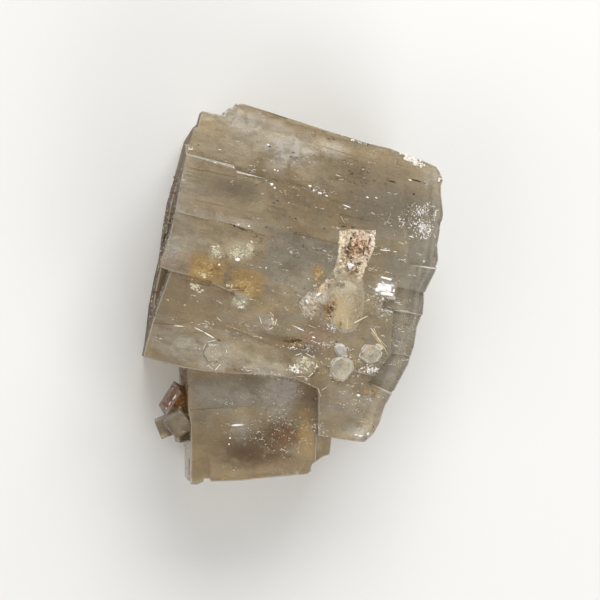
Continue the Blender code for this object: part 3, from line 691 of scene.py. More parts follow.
# ---- the halite blocks ----
@dataclass
class HaliteBlocks:
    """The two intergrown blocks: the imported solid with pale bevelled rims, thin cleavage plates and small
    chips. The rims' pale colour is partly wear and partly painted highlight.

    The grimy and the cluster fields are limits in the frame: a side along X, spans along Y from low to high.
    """

    finish: HaliteFinish = field(default_factory=HaliteFinish)
    ledge_rims: tuple[float, ...] = (0.62, 0.34, 0.16)
    front_rims: tuple[float, ...] = (0.22, 0.12)
    wall_rim: float = 0.12
    weld: float = 0.08
    sharpest_flat: float = 55.0
    inner_step: float = 2.2
    snap: float = 0.03
    grimy_side: float = -17.0
    grimy_low: float = -15.5
    strip_side: float = -18.0
    strip_low: float = -19.0
    strip_grime: float = 0.8
    cluster_whitening_and_highlight: float = 0.25
    cluster_side: float = -19.0
    cluster_span: Point = (-34.0, -15.0)
    cluster_front: float = -20.9
    cluster_top: float = -16.5
    clean_low: float = -23.6
    bump_level: float = 31.25
    bumps: tuple[tuple[float, float, float], ...] = ((-16.4, -11.4, 3.3), (-5.4, -5.0, 2.3))
    pit: tuple[Point, Point] = ((0.2, -7.8), (16.3, 13.3))
    rim_corner: Point = (-21.0, 28.4)
    rim_slope: float = -0.3
    rim_end: float = 26.0
    seed: int = 11
    middle: Place = (0.0, 2.0, 16.0)
    reach: float = 26.0
    wall_span: Point = (-14.0, 13.0)
    outside: float = 90.0
    upper_rim: float = 28.0
    lower_rim: float = 24.0
    wall_plates: int = 60
    face_plates: int = 26
    chips: int = 40

    def build(self) -> "Surface":
        """Return the surface of the dressed blocks, which other pieces are set on."""
        bm = node_copy("halite_crystal")
        bm.faces.layers.float.new("whitening_and_highlight")
        bm.faces.layers.float.new("grimy")
        obj = finished("halite_blocks", bm, self.finish.make())
        self.cleave(obj)
        self.bevel_and_brighten_rims(obj)
        adopt(obj, "halite", "halite_crystal")
        return Surface(obj)

    def bevel_and_brighten_rims(self, obj: bpy.types.Object) -> None:
        """Bevel the rims: widely on ledges up the slope, less on other front rims, and finely elsewhere. The
        new faces are painted pale, partly as wear and partly as highlight.
        """
        bm = bmesh.new()
        bm.from_mesh(obj.data)
        made_whole(scaled(bm, 1 / MM), self.weld, 0.3)
        self.flatten(bm)
        before = Surface.of(bm)
        whitening_and_highlight, grimy = (bm.faces.layers.float[name] for name in ("whitening_and_highlight", "grimy"))
        # Ledge rims and tall front rims are painted nearly white, also where they face away from the lamps:
        # partly wear, partly painted highlight.
        for width in self.ledge_rims:
            ledge = [e for e in bm.edges
                     if self.is_rim(e, width) and self.on_ledge(e) and not self.is_tall(e)]
            self.bevel(bm, ledge, width, whitening_and_highlight, 1.0)
        for width in self.front_rims:
            front = [e for e in bm.edges if self.is_rim(e, width) and self.on_front(e)]
            self.bevel(bm, [e for e in front if self.is_tall(e)], width, whitening_and_highlight, 0.95)
            front = [e for e in bm.edges if self.is_rim(e, width) and self.on_front(e)]
            self.bevel(bm, front, width, whitening_and_highlight, 0.2)
        rest = [e for e in bm.edges if self.is_rim(e, self.wall_rim) and not self.on_front(e)]
        self.bevel(bm, rest, self.wall_rim, whitening_and_highlight, 0.55)
        for vert in bm.verts:
            place, normal, _, away = before.tree.find_nearest(vert.co)
            if away > self.snap and (vert.co - place).dot(normal) > -0.3 * away:
                vert.co = place
        bmesh.ops.triangulate(bm, faces=bm.faces)
        for face in bm.faces:
            face.smooth = False
            self.mark(face, whitening_and_highlight, grimy)
        scaled(bm, MM).to_mesh(obj.data)
        bm.free()

    def mark(self, face: Face, whitening_and_highlight: object, grimy: object) -> None:
        """Note where the left wall is grimy, and how much pale colour, partly whitening and partly painted
        highlight, the bumps and the wall cluster carry.

        Args:
            face: A face of the finished mesh.
            whitening_and_highlight: The layer that holds how much pale colour, partly whitening and partly
                painted highlight, a face carries.
            grimy: The layer that holds how grimy a face is.
        """
        middle, normal = face.calc_center_median(), face.normal
        if normal.x < -0.6 and middle.y > self.grimy_low and middle.x < self.grimy_side and face[whitening_and_highlight] < 0.5:
            face[grimy] = 1.0
        if normal.x < -0.5 and self.strip_low < middle.y <= self.grimy_low and middle.x < self.strip_side:
            face[grimy] = self.strip_grime
        if middle.z > self.bump_level and any(math.dist(middle.xy, (x, y)) < r for x, y, r in self.bumps):
            face[whitening_and_highlight] = 0.3 if normal.z > 0.95 else 0.25
        if middle.x < self.cluster_front and middle.y < self.cluster_top:
            face[whitening_and_highlight] = 0.0 if middle.y > self.clean_low else min(face[whitening_and_highlight], self.cluster_whitening_and_highlight)

    @staticmethod
    def flatten(bm: Shape) -> None:
        """Move the corners of each wide front face up or down onto the plane that most of them share."""
        for face in bm.faces:
            if face.normal.z < 0.9 or face.calc_area() < 1.5:
                continue
            corners, keep = [v.co.copy() for v in face.verts], [True] * len(face.verts)
            for _ in range(4):
                sums = Matrix(((0.0,) * 3,) * 3)
                right = Vector((0.0, 0.0, 0.0))
                for corner in (c for c, k in zip(corners, keep) if k):
                    row = Vector((corner.x, corner.y, 1.0))
                    sums = sums + Matrix([row * value for value in row])
                    right += row * corner.z
                if abs(sums.determinant()) < 1e-6:
                    break
                plane = sums.inverted() @ right
                off = [abs(plane.dot(Vector((c.x, c.y, 1.0))) - c.z) for c in corners]
                limit = max(0.01, sorted(off)[len(off) // 2] * 2.5)
                keep = [value <= limit for value in off]
            else:
                for vert, value in zip(face.verts, off):
                    if value < 0.3:
                        vert.co.z = plane.dot(Vector((vert.co.x, vert.co.y, 1.0)))

    def is_rim(self, edge: Edge, width: float) -> bool:
        """Return whether an edge is a sharp outer corner between faces wide enough to bevel."""
        if len(edge.link_faces) != 2 or edge.calc_length() < 2.0 * width:
            return False
        if edge.calc_face_angle_signed() < math.radians(self.sharpest_flat):
            return False
        if min(vert.co.z for vert in edge.verts) < 0.5:
            return False
        return min(face.calc_area() for face in edge.link_faces) / edge.calc_length() > 1.9 * width

    def is_tall(self, edge: Edge) -> bool:
        """Return whether the wall below an edge is taller than an inner step."""
        wall = min(edge.link_faces, key=lambda face: face.normal.z)
        heights = [vert.co.z for vert in wall.verts]
        return max(heights) - min(heights) > self.inner_step

    def on_front(self, edge: Edge) -> bool:
        """Return whether an edge bounds a front face, away from the pit."""
        middle = (edge.verts[0].co + edge.verts[1].co) / 2
        (left, low), (right, high) = self.pit
        in_pit = left < middle.x < right and low < middle.y < high
        return max(face.normal.z for face in edge.link_faces) > 0.9 and not in_pit

    def on_ledge(self, edge: Edge) -> bool:
        """Return whether an edge is the rim of a ledge inside the front face, and not of the outer rim."""
        middle = (edge.verts[0].co + edge.verts[1].co) / 2
        steep = max(abs(face.normal.y) for face in edge.link_faces) > 0.75
        outer_y = self.rim_corner[1] + self.rim_slope * (middle.x - self.rim_corner[0])
        return self.on_front(edge) and steep and middle.y < outer_y and middle.x < self.rim_end

    @staticmethod
    def bevel(bm: Shape, edges: list[Edge], width: float, layer: object,
              whitening_and_highlight: float) -> None:
        """Bevel edges by a width with one flat segment, and note how pale the new faces are painted, partly as
        wear and partly as highlight.
        """
        made = bmesh.ops.bevel(bm, geom=edges, offset=width, segments=1, profile=0.5, affect="EDGES",
                               material=-1, clamp_overlap=False)
        for face in made["faces"]:
            face[layer] = whitening_and_highlight

    def cleave(self, obj: bpy.types.Object) -> None:
        """Cut thin plates off the walls and the front face, and small chips off the rims."""
        rng = random.Random(self.seed)
        surface = Surface(obj)
        kept = sum(self.cut(obj, self.wall_plate(surface, rng)) for _ in range(self.wall_plates))
        kept += sum(self.cut(obj, self.face_plate(surface, rng)) for _ in range(self.face_plates))
        kept += sum(self.cut(obj, self.chip(surface, rng)) for _ in range(self.chips))
        LOG.info("cleavage plates and chips cut: %d", kept)

    def wall_plate(self, surface: "Surface", rng: random.Random) -> Shape | None:
        """Return a slab that takes a thin plate off a side wall, along the cleavage."""
        out = flat_way(rng.uniform(0.0, math.tau))
        start = Vector((0.0, rng.uniform(-self.reach, self.reach), rng.uniform(*self.wall_span)))
        start = Vector(self.middle) + start
        hit = surface.hit(start + out * self.outside, -out)
        if hit is None or abs(hit[1].z) > 0.3:
            return None
        ways = [flat_way(cleavage(hit[0].y) + quarter * math.pi / 2) for quarter in range(4)]
        normal = max(ways, key=hit[1].dot)
        size = (12.0, rng.uniform(2.0, 9.0), rng.uniform(1.5, 7.0))
        centre = hit[0] + normal * (size[0] / 2 - rng.uniform(0.10, 0.55))
        low, high = self.cluster_span
        if hit[0].x < self.cluster_side and low < hit[0].y < high:
            return None
        return self.slab(centre, size, normal, UP)

    def face_plate(self, surface: "Surface", rng: random.Random) -> Shape | None:
        """Return a slab that takes a very thin plate off the front face, along the cleavage."""
        hit = surface.under(rng.uniform(-24.0, 24.0), rng.uniform(-34.0, 34.0))
        if hit is None or hit[1].z < 0.97:
            return None
        along = flat_way(cleavage(hit[0].y) + rng.uniform(-0.04, 0.04))
        size = (rng.uniform(5.0, 16.0), rng.uniform(0.8, 3.6), 3.0)
        centre = hit[0] + hit[1] * (size[2] / 2 - rng.uniform(0.05, 0.13))
        return self.slab(centre, size, along, hit[1])

    def chip(self, surface: "Surface", rng: random.Random) -> Shape | None:
        """Return a ball that leaves a shell-shaped chip in the front rim."""
        out = flat_way(rng.uniform(0.0, math.tau))
        start = Vector((0.0, rng.uniform(-self.reach, self.reach), 0.0))
        start.z = self.upper_rim if rng.random() < 0.75 else self.lower_rim
        hit = surface.hit(start + out * self.outside, -out)
        top = surface.under(*(hit[0] - out * 0.4).xy) if hit else None
        if top is None:
            return None
        radius = rng.uniform(0.5, 1.5)
        away = (out + Vector((0, 0, rng.uniform(0.6, 1.3)))) * radius * 0.55
        centre = Vector((hit[0].x, hit[0].y, top[0].z)) + away
        spin = Matrix.Rotation(rng.uniform(0, 3), 4, "Z")
        place = Matrix.Translation(centre) @ (spin @ Matrix.Diagonal((1.0, rng.uniform(0.7, 1.5), 0.9, 1.0)))
        bm = bmesh.new()
        bmesh.ops.create_icosphere(bm, subdivisions=2, radius=radius, matrix=place)
        layer = bm.faces.layers.float.new("whitening_and_highlight")
        for face in bm.faces:
            face[layer] = 0.45
        return bm

    @staticmethod
    def slab(centre: Vector, size: Place, along: Vector, up: Vector) -> Shape:
        """Return a box at a place, turned so that its length lies along one direction."""
        across = up.cross(along).normalized()
        turn = Matrix((along.normalized(), across, along.normalized().cross(across))).transposed().to_4x4()
        bm = bmesh.new()
        place = Matrix.Translation(centre) @ turn @ Matrix.Diagonal((*size, 1.0))
        bmesh.ops.create_cube(bm, size=1.0, matrix=place)
        return bm

    @staticmethod
    def cut(obj: bpy.types.Object, bm: Shape | None) -> bool:
        """Take a tool drawn in millimetres away from the object, unless that would leave it open.

        Args:
            obj: The object to cut.
            bm: The tool, or None for no cut.

        Returns:
            Whether the cut was kept.
        """
        if bm is None:
            return False
        mesh = bpy.data.meshes.new("tool")
        scaled(bm, MM).to_mesh(mesh)
        bm.free()
        tool = bpy.data.objects.new("tool", mesh)
        bpy.context.scene.collection.objects.link(tool)
        modifier = obj.modifiers.new("cut", "BOOLEAN")
        modifier.operation = "DIFFERENCE"
        modifier.solver = "EXACT"
        modifier.object = tool
        result = bpy.data.meshes.new_from_object(obj.evaluated_get(bpy.context.evaluated_depsgraph_get()))
        obj.modifiers.clear()
        check = bmesh.new()
        check.from_mesh(result)
        closed = len(check.verts) > 100 and all(len(edge.link_faces) == 2 for edge in check.edges)
        check.free()
        spent = result
        if closed:
            spent, obj.data = obj.data, result
        bpy.data.objects.remove(tool, do_unlink=True)
        bpy.data.meshes.remove(mesh)
        bpy.data.meshes.remove(spent)
        return closed


class Surface:
    """The outside of the dressed blocks, for setting small pieces on it."""

    def __init__(self, obj: bpy.types.Object) -> None:
        """Read an object's mesh, in millimetres."""
        bm = bmesh.new()
        bm.from_mesh(obj.data)
        self.read(scaled(bm, 1 / MM))
        bm.free()

    def read(self, bm: Shape) -> None:
        """Keep the shape of a mesh that is already in millimetres."""
        bm.normal_update()
        self.tree = BVHTree.FromBMesh(bm)

    @classmethod
    def of(cls, bm: Shape) -> "Surface":
        """Return the surface of a mesh that is already in millimetres."""
        surface = cls.__new__(cls)
        surface.read(bm)
        return surface

    def hit(self, start: Vector, way: Vector) -> tuple[Vector, Vector] | None:
        """Return the first point of the surface on a ray and the outward normal there, or None."""
        place, normal, _, _ = self.tree.ray_cast(start, way)
        return None if place is None else (place, normal)

    def under(self, x: float, y: float) -> tuple[Vector, Vector] | None:
        """Return the front-face point over a place in plan and its normal, or None."""
        return self.hit(Vector((x, y, FAR_OFF)), DOWN)


# ---- small pieces set on the blocks ----
class Side(Enum):
    """The side of the blocks that a small piece is set on, as the way in to it."""

    FRONT = (0.0, 0.0, -1.0)
    LEFT = (1.0, 0.0, 0.0)


@dataclass(frozen=True)
class Fleck:
    """One flat flaw: its place on its side, half its length and width, and its turn from the cleavage."""

    x: float
    y: float
    length: float
    width: float
    turn: float = 0.0
    corners: int = 6


def flaws(*rows: tuple) -> tuple[Fleck, ...]:
    """Return flaws from rows of values in the order of their fields."""
    return tuple(Fleck(*row) for row in rows)


@dataclass(frozen=True)
class Swarm:
    """A drift of flaws or grains: centre, half spread along and across the cleavage, number, size, look."""

    x: float
    y: float
    along: float
    across: float
    count: int
    size: float = 0.14
    stretch: float = 1.8
    swing: float = 0.25
    clump: int = 1
    turn: float = MAIN_CLEAVAGE

    def flecks(self, rng: random.Random) -> Iterable[Fleck]:
        """Yield the flaws of the drift, thick in the middle and thin towards its edge."""
        c, s = math.cos(self.turn), math.sin(self.turn)
        for index in range(self.count):
            if index % self.clump == 0:
                u0 = max(-1.6, min(1.6, rng.gauss(0.0, 0.5))) * self.along
                v0 = max(-1.6, min(1.6, rng.gauss(0.0, 0.5))) * self.across
                spread = rng.uniform(0.3, 1.1) if self.clump > 1 else 0.0
            u, v = u0 + spread * rng.gauss(0.0, 1.0), v0 + spread * rng.gauss(0.0, 0.22)
            width = self.size * (0.4 + 1.0 * rng.random() ** 1.6)
            stretch = rng.uniform(1.0, self.stretch)
            yield Fleck(self.x + u * c - v * s, self.y + u * s + v * c, width * stretch, width,
                        rng.gauss(0.0, self.swing), 4 if stretch > 2.2 else rng.choice((4, 5, 6)))


def drifts(*rows: tuple) -> tuple[Swarm, ...]:
    """Return drifts from rows of values in the order of their fields."""
    return tuple(Swarm(*row) for row in rows)


@dataclass
class FlawBed:
    """Many small flat flaws of one finish, just in the surface of one side. Some beds also paint glints,
    highlights and small shadows.
    """

    name: str
    finish: GrainFinish
    surface: Surface
    slot: str = "halite"
    thickness: float = 0.10
    proud: float = 0.035
    deepest: float = 0.0
    ragged: float = 0.3
    gap: float = 0.12
    seed: int = 3
    side: Side = Side.FRONT

    def build(self, flecks: Sequence[Fleck], swarms: Sequence[Swarm] = ()) -> bpy.types.Object:
        """Return one object with every flaw.

        Args:
            flecks: Flaws that are placed one by one.
            swarms: Drifts of flaws.

        Returns:
            The object.
        """
        rng = random.Random(self.seed)
        bm = bmesh.new()
        every = [*flecks, *(fleck for swarm in swarms for fleck in swarm.flecks(rng))]
        for fleck in every:
            self.add(bm, fleck, rng)
        obj = finished(self.name, bm, self.finish.make())
        adopt(obj, self.slot)
        return obj

    def along(self, fleck: Fleck, y: float) -> Vector:
        """Return the way that a flaw lies: turned from the cleavage at its place, or up the left wall."""
        if self.side is Side.LEFT:
            return Vector((0.0, math.sin(fleck.turn), math.cos(fleck.turn)))
        return flat_way(fleck.turn + cleavage(y))

    def add(self, bm: Shape, fleck: Fleck, rng: random.Random) -> None:
        """Set one flaw in the surface, with a ragged outline."""
        way = Vector(self.side.value)
        front, left = Vector((fleck.x, fleck.y, FAR_OFF)), Vector((-FAR_OFF, fleck.x, fleck.y))
        hit = self.surface.hit(front if self.side is Side.FRONT else left, way)
        if hit is None or hit[1].dot(way) > -0.6:
            return
        place, normal = hit
        if any(not self.level(place, normal, step, fleck, way) for step in (-0.8, -0.4, 0.4, 0.8)):
            return
        across = normal.cross(self.along(fleck, place.y)).normalized()
        axes = Matrix((across.cross(normal), across, normal)).transposed().to_4x4()
        place = place + normal * (self.proud - self.thickness / 2 - self.deepest * rng.random() ** 1.5)
        size = Matrix.Diagonal((fleck.length, fleck.width, self.thickness, 1.0))
        if fleck.corners == 4:
            size = size @ Matrix.Rotation(math.pi / 4, 4, "Z")
        made = bmesh.ops.create_cone(bm, cap_ends=True, segments=fleck.corners, radius1=1.0, radius2=0.75,
                                     depth=1.0, matrix=Matrix.Translation(place) @ axes @ size)
        for vert in made["verts"]:
            shift = (vert.co - place) * rng.uniform(-self.ragged, self.ragged)
            vert.co += shift - normal * shift.dot(normal)

    def level(self, place: Vector, normal: Vector, step: float, fleck: Fleck, way: Vector) -> bool:
        """Return whether the surface is still on one level a share of the way along a flaw."""
        along = self.along(fleck, place.y)
        along = (along - normal * along.dot(normal)).normalized()
        hit = self.surface.hit(place + along * fleck.length * step - way * FAR_OFF / 2, way)
        return hit is not None and abs((hit[0] - place).dot(normal)) < self.gap


@dataclass
class GrainBed:
    """Many small rough grains of one finish, sunk a little into the surface of the front."""

    name: str
    finish: GrainFinish
    surface: Surface
    slot: str
    sink: float = 0.35
    flat: float = 0.55
    rough: float = 0.3
    seed: int = 5
    top: float = 32.3
    tilt: float = 0.4

    def build(self, swarms: Sequence[Swarm]) -> bpy.types.Object:
        """Return one object with the grains of every drift."""
        rng = random.Random(self.seed)
        bm = bmesh.new()
        for swarm in swarms:
            for fleck in swarm.flecks(rng):
                self.add(bm, fleck, rng)
        obj = finished(self.name, bm, self.finish.make())
        adopt(obj, self.slot)
        return obj

    def add(self, bm: Shape, fleck: Fleck, rng: random.Random) -> None:
        """Set one grain on the surface."""
        hit = self.surface.under(fleck.x, fleck.y)
        if hit is None:
            return
        high = fleck.width * self.flat
        place = hit[0] + hit[1] * high * (1.0 - 2.0 * self.sink)
        place.z = min(place.z, self.top - high * 1.3)
        turn = Matrix.Rotation(rng.uniform(0.0, math.tau), 4, "Z")
        turn = turn @ Matrix.Rotation(rng.uniform(-self.tilt, self.tilt), 4, "X")
        size = Matrix.Diagonal((fleck.length, fleck.width, high, 1.0))
        made = bmesh.ops.create_icosphere(bm, subdivisions=1, radius=1.0,
                                          matrix=Matrix.Translation(place) @ turn @ size)
        for vert in made["verts"]:
            vert.co += (vert.co - place) * rng.uniform(-self.rough, self.rough)


# Bright flecks: partly white flaws, partly painted glints.
GLINT_FLECKS = flaws(
    (2.9, 21.6, 0.42, 0.22), (3.7, 20.7, 0.36, 0.2), (4.9, 20.2, 0.55, 0.24), (6.2, 19.7, 0.4, 0.14),
    (10.3, 17.6, 0.9, 0.14, -0.1), (14.4, 19.4, 0.36, 0.14), (16.2, 19.3, 0.3, 0.14), (-4.1, 24.8, 0.24, 0.2),
    (-3.5, 24.6, 0.2, 0.18), (-4.8, 21.9, 0.42, 0.3), (-4.2, 21.2, 0.26, 0.2), (-15, 28.7, 0.34, 0.1),
    (-16.1, 26.1, 0.4, 0.1), (-12.4, 25.2, 0.16, 0.14), (-5.4, 29.7, 0.34, 0.2), (23.2, 22.9, 0.5, 0.16),
    (26.6, 22.2, 0.24, 0.16), (18, 8.9, 1.2, 0.13, 0.18), (20, 8.6, 0.5, 0.1, 0.18), (23.4, 11.6, 0.8, 0.13),
    # The flecks from (18.1, 3.3) to (19.7, 0.9) make the white flash: partly a pale inner flaw, partly painted
    # highlight.
    (26, 6.7, 0.24, 0.24), (18.1, 3.3, 1.8, 0.3, -0.02, 4), (17.9, 1.5, 2.2, 1.1, 0.10, 4),
    (18.3, 0.2, 1.9, 0.46, 0.10, 4), (18.1, 0.72, 1.5, 0.12, 0, 4), (16.4, 1, 0.6, 0.5, 0.1, 5),
    (19.7, 0.9, 0.3, 0.5, 0.1, 4), (-11.6, 7, 0.55, 0.42), (-11.4, 13.9, 0.26, 0.22), (-9.3, 13.6, 0.26, 0.2),
    (-15.2, 6, 0.26, 0.22), (-16.4, 9.6, 0.7, 0.09, 0.2), (-5.9, 5.4, 0.2, 0.2), (2.6, 3.2, 0.16, 0.16),
    (13.4, -1.2, 0.5, 0.14), (14.6, -1, 0.4, 0.1, 0.5), (-0.4, -14.6, 0.6, 0.46), (0.5, -15, 0.34, 0.3),
    (-11.2, -26, 1.7, 0.2, 0.03), (-12.6, -28.6, 0.24, 0.2), (-12.8, -29.8, 0.2, 0.2),
    # The flecks round (13.4, -28.2) are painted highlight: the bluish-white flash at the lower right corner.
    (13.4, -28.2, 0.5, 0.26), (14.3, -28.5, 0.45, 0.26), (12.5, -28, 0.4, 0.16), (14.9, -27.8, 0.3, 0.3),
    # The flecks at (-23.8, -20.5) and (-23.9, -21.8) are painted highlight: the flash on the amber crystal.
    (12.8, -20, 0.4, 0.3), (-23.8, -20.5, 0.34, 1.2, -0.05), (-23.9, -21.8, 0.3, 0.5, -0.2),
    (-23.2, -6.1, 1.2, 0.12, 0.1), (-19.2, -6.8, 1.3, 0.12, -0.2), (-17.2, -7.9, 1.2, 0.14, -0.3),
    (0.6, -6.6, 1.4, 0.12, -0.2), (3.6, -8.4, 0.4, 0.2))
# Drifts of bright flecks: partly white flaws, partly painted glints.
GLINT_SWARMS = drifts(
    # The first two drifts, round (18, 0), fill the white flash: partly a pale inner flaw, partly painted
    # highlight.
    (17.6, 1.2, 1.7, 1.2, 40, 0.12, 3.4, 0.2), (18, -0.9, 1.6, 0.5, 24, 0.09, 3, 0.4),
    (14.9, -14.7, 2.2, 0.6, 60, 0.12, 3, 0.5), (10.2, -12.3, 0.9, 0.5, 26, 0.09, 2.4, 0.8),
    (-0.3, -14.7, 1.1, 0.7, 34, 0.16, 2.4, 0.8), (2.2, -10.8, 1.4, 0.5, 22, 0.08, 2.4, 0.8),
    (-0.6, -10.4, 1, 0.5, 18, 0.09, 2.4, 0.8), (13, -12.6, 0.7, 0.9, 18, 0.08, 2.4, 0.8),
    (7.4, -15.6, 0.6, 1.2, 18, 0.08, 2.4, 0.8), (7.2, -6.4, 0.9, 0.6, 26, 0.1, 2.4, 1),
    (4.2, 20.7, 3.4, 0.5, 18, 0.09, 2.4), (14.2, 24, 0.5, 7, 20, 0.06, 2.4),
    (24, 14.6, 3.6, 3.4, 130, 0.075, 5, 1.4), (26.2, 13.2, 1.6, 1.6, 150, 0.09, 5, 1.6),
    (25.4, 16.8, 1.6, 1.4, 60, 0.085, 5, 1.4), (28.4, 16, 0.6, 1.4, 30, 0.09, 3, 1.4),
    (19, 16, 0.6, 2.4, 16, 0.07, 3, 0.6), (18.2, 8.9, 3, 0.5, 12, 0.05, 7, 0.05),
    (17.4, -3.4, 1.8, 1.6, 44, 0.06, 4, 1), (20.6, -5.8, 0.6, 2.6, 16, 0.05, 3),
    (15.6, -14.8, 2.4, 0.9, 40, 0.08, 3, 0.6), (2.2, -2.6, 2, 1.5, 80, 0.08, 4, 1),
    (-0.2, -14.8, 1, 0.6, 18, 0.12, 2.4), (5.8, -10, 1.4, 0.8, 24, 0.08, 2.6, 1),
    (-15.9, 8.6, 0.8, 0.9, 16, 0.09, 2.4, 0.8), (-11, 8.6, 1.6, 1.3, 24, 0.09, 2.4, 0.8),
    (-20, 1.8, 1.4, 0.6, 14, 0.1, 2.4, 0.8, 1, -0.6), (-10.8, -2.4, 0.9, 0.2, 12, 0.13, 2.4, 0.5),
    (-4, -22, 6, 1.2, 22, 0.07, 3), (4.6, -26.4, 1.4, 1.4, 34, 0.08, 2.4, 1), (-2, -27, 5, 5, 70, 0.06, 3),
    (-16, -24, 4, 6, 20, 0.05, 3))
# Drifts of pale flecks: partly pale flaws, partly painted glints.
SPARK_SWARMS = drifts(
    (0, 5, 17, 15, 260, 0.075, 6, 0.15, 5), (4, 22, 16, 8, 160, 0.075, 6, 0.15, 5),
    (18, 0, 8, 16, 280, 0.085, 6, 0.2, 6), (-15, -6, 10, 7, 110, 0.08, 5, 0.2, 5),
    (8, -14, 10, 8, 260, 0.085, 4, 0.3, 6), (12, -24, 4, 6, 80, 0.085, 4, 0.4, 5),
    (-9, -28, 12, 10, 120, 0.08, 3, 0.4, 5), (-8, 26, 14, 6, 70, 0.07, 5, 0.2, 5),
    (-6, -15.6, 13, 0.6, 90, 0.09, 3, 0.4, 4), (22, -10, 2, 10, 90, 0.075, 3, 0.5, 5),
    (-2, -28, 5, 5, 110, 0.09, 3, 0.6, 5))
HAZE_FLECKS = flaws(
    (-14.8, 13.9, 0.9, 0.7, 0, 4), (-11, 13.9, 1.3, 0.5, 0.05, 4), (-9.6, 12.9, 1, 0.4, 0.05, 4),
    (-11.2, -26.4, 1.9, 1.2, 0.05, 4), (-10.6, -28.2, 1.4, 0.9, 0, 4), (18.4, 2.4, 2, 1.8, 0.05, 4))
HAZE_SWARMS = drifts(
    (-11, 8.4, 2.6, 2, 16, 0.3, 1.6, 0.8), (-15.8, 8, 1.4, 1.4, 9, 0.25, 1.6, 0.8),
    (2.4, -2.6, 2.4, 1.8, 40, 0.28, 2, 0.8), (24.4, 14.6, 3.8, 3.6, 60, 0.24, 3, 0.9),
    (1.4, -13.6, 2.4, 1.8, 36, 0.3, 1.6, 0.8), (15.8, -14.8, 2.6, 0.9, 26, 0.24, 1.8, 0.6),
    (-11.4, -27.6, 1.8, 1.8, 16, 0.3, 1.6, 0.4), (-5, -20.6, 5, 1.6, 24, 0.3, 2), (-1, 28, 4, 2, 20, 0.3, 2),
    (17, -3.4, 2.4, 2, 26, 0.24, 2, 0.8), (22, -8, 1.4, 5, 26, 0.24, 2, 0.5),
    (4, 2, 14, 16, 90, 0.16, 5, 0.15), (0, 20, 16, 10, 70, 0.16, 5, 0.15))
FLUID_FLECKS = flaws(
    (19.3, 22.6, 1.15, 0.16, 0.02, 5), (18.5, 23.1, 0.3, 0.12, 1, 4), (24.4, 22.8, 1.5, 0.16, 0.03, 5),
    (26.2, 22.3, 0.8, 0.09, 0.03, 4), (23.9, 20.1, 0.3, 0.2), (-7.6, 30.4, 0.22, 0.14),
    (-5.1, 29.4, 0.34, 0.14, -0.2), (-0.4, 28.2, 0.4, 0.11), (-0.9, 27.4, 0.4, 0.1), (0.2, 27.2, 0.34, 0.1),
    (14.4, 29.9, 0.3, 0.2), (6.6, 31, 0.5, 0.09), (7.7, 30.9, 0.4, 0.08), (-19.2, 29.6, 0.3, 0.14),
    (9.6, 13.6, 0.6, 0.16, 0.1), (11.4, 13.4, 0.5, 0.13), (-12.2, 13.7, 0.3, 0.34), (-12.9, 14, 0.3, 0.13),
    (-10.6, 13, 1.2, 0.16, -0.1), (-4.4, 18.2, 0.3, 0.16), (-3.6, 18.6, 0.26, 0.16), (8.2, -9.4, 0.26, 0.2),
    (-15.2, -8.9, 0.5, 0.14, -0.4), (-24.8, -26.8, 0.26, 0.3, 0, 4), (6, 0.6, 0.4, 0.2, 0.6),
    (7.6, -4.2, 0.5, 0.4), (12.6, 6.1, 0.62, 0.12, 0.15, 4), (12.15, 5.5, 0.12, 0.5, 0.25, 4),
    (14.7, -28.7, 0.2, 0.16), (16, -26.4, 0.3, 0.1, 1.2))
# Clumped dark drifts: partly fluid inclusions, partly painted small shadows beside the glints.
FLUID_SWARMS = drifts(
    (14, 24, 10, 4, 50, 0.075, 4, 0.2, 3), (0, 8, 16, 14, 110, 0.07, 4, 0.25, 3),
    (-2, -26, 6, 6, 60, 0.08, 1.8, 0.25, 3), (8, -12, 9, 6, 90, 0.07, 2.6, 0.25, 3), (-12, 4, 5, 4, 40, 0.08),
    (24, 14, 3, 5, 40, 0.07), (2.2, -2.4, 2, 1.6, 20, 0.1, 2, 1), (-9, -28, 10, 9, 50, 0.06, 3),
    (20, -8, 5, 12, 60, 0.06, 3), (-6, -15.8, 12, 0.6, 40, 0.07, 4, 0.3))
GOLDEN_SWARMS = drifts(
    (-17.6, 5, 2.2, 1.3, 44, 0.2, 3, 0.4), (-9.8, 1.6, 1.9, 1.5, 44, 0.2, 3, 0.4),
    (4.4, 4.2, 0.8, 1.4, 18, 0.26, 1.8, 0.8), (-0.4, -9.6, 1.6, 0.8, 16, 0.28, 1.8, 0.5),
    (15.6, -19.2, 0.5, 0.5, 9, 0.3, 1.6, 0.8), (2.4, -27, 1, 4, 18, 0.24, 2, 0.6),
    (6.6, -3.6, 0.3, 1.6, 16, 0.24, 1.6, 1))
BUTTER_SWARMS = drifts(
    (-15.9, 8.4, 0.9, 0.9, 34, 0.17, 2.4, 0.8), (-11.6, 8.6, 1.2, 1.3, 34, 0.18, 2.4, 0.8),
    (-9.2, 9, 0.7, 1.5, 34, 0.18, 2.4, 0.8), (-11, -1.4, 1, 0.8, 26, 0.2, 2.4, 0.8),
    (-16, -11.8, 1.8, 2, 20, 0.1, 3, 0.8), (-16.6, -13.4, 1.4, 0.5, 18, 0.12, 3, 0.8),
    (-20, 1.8, 1.5, 0.7, 24, 0.2, 2, 0.8, 1, -0.6), (-18.6, 4, 1, 0.5, 14, 0.22, 1.8, 0.5),
    (2.4, -13.6, 2, 1.6, 36, 0.24, 2.6, 0.8), (-13.2, 1.6, 0.8, 0.5, 10, 0.2, 1.6, 0.8),
    (5, 2, 1.4, 0.5, 12, 0.24, 1.8, 0.5), (-4.6, -5.6, 1, 0.8, 14, 0.22, 1.6, 0.8))
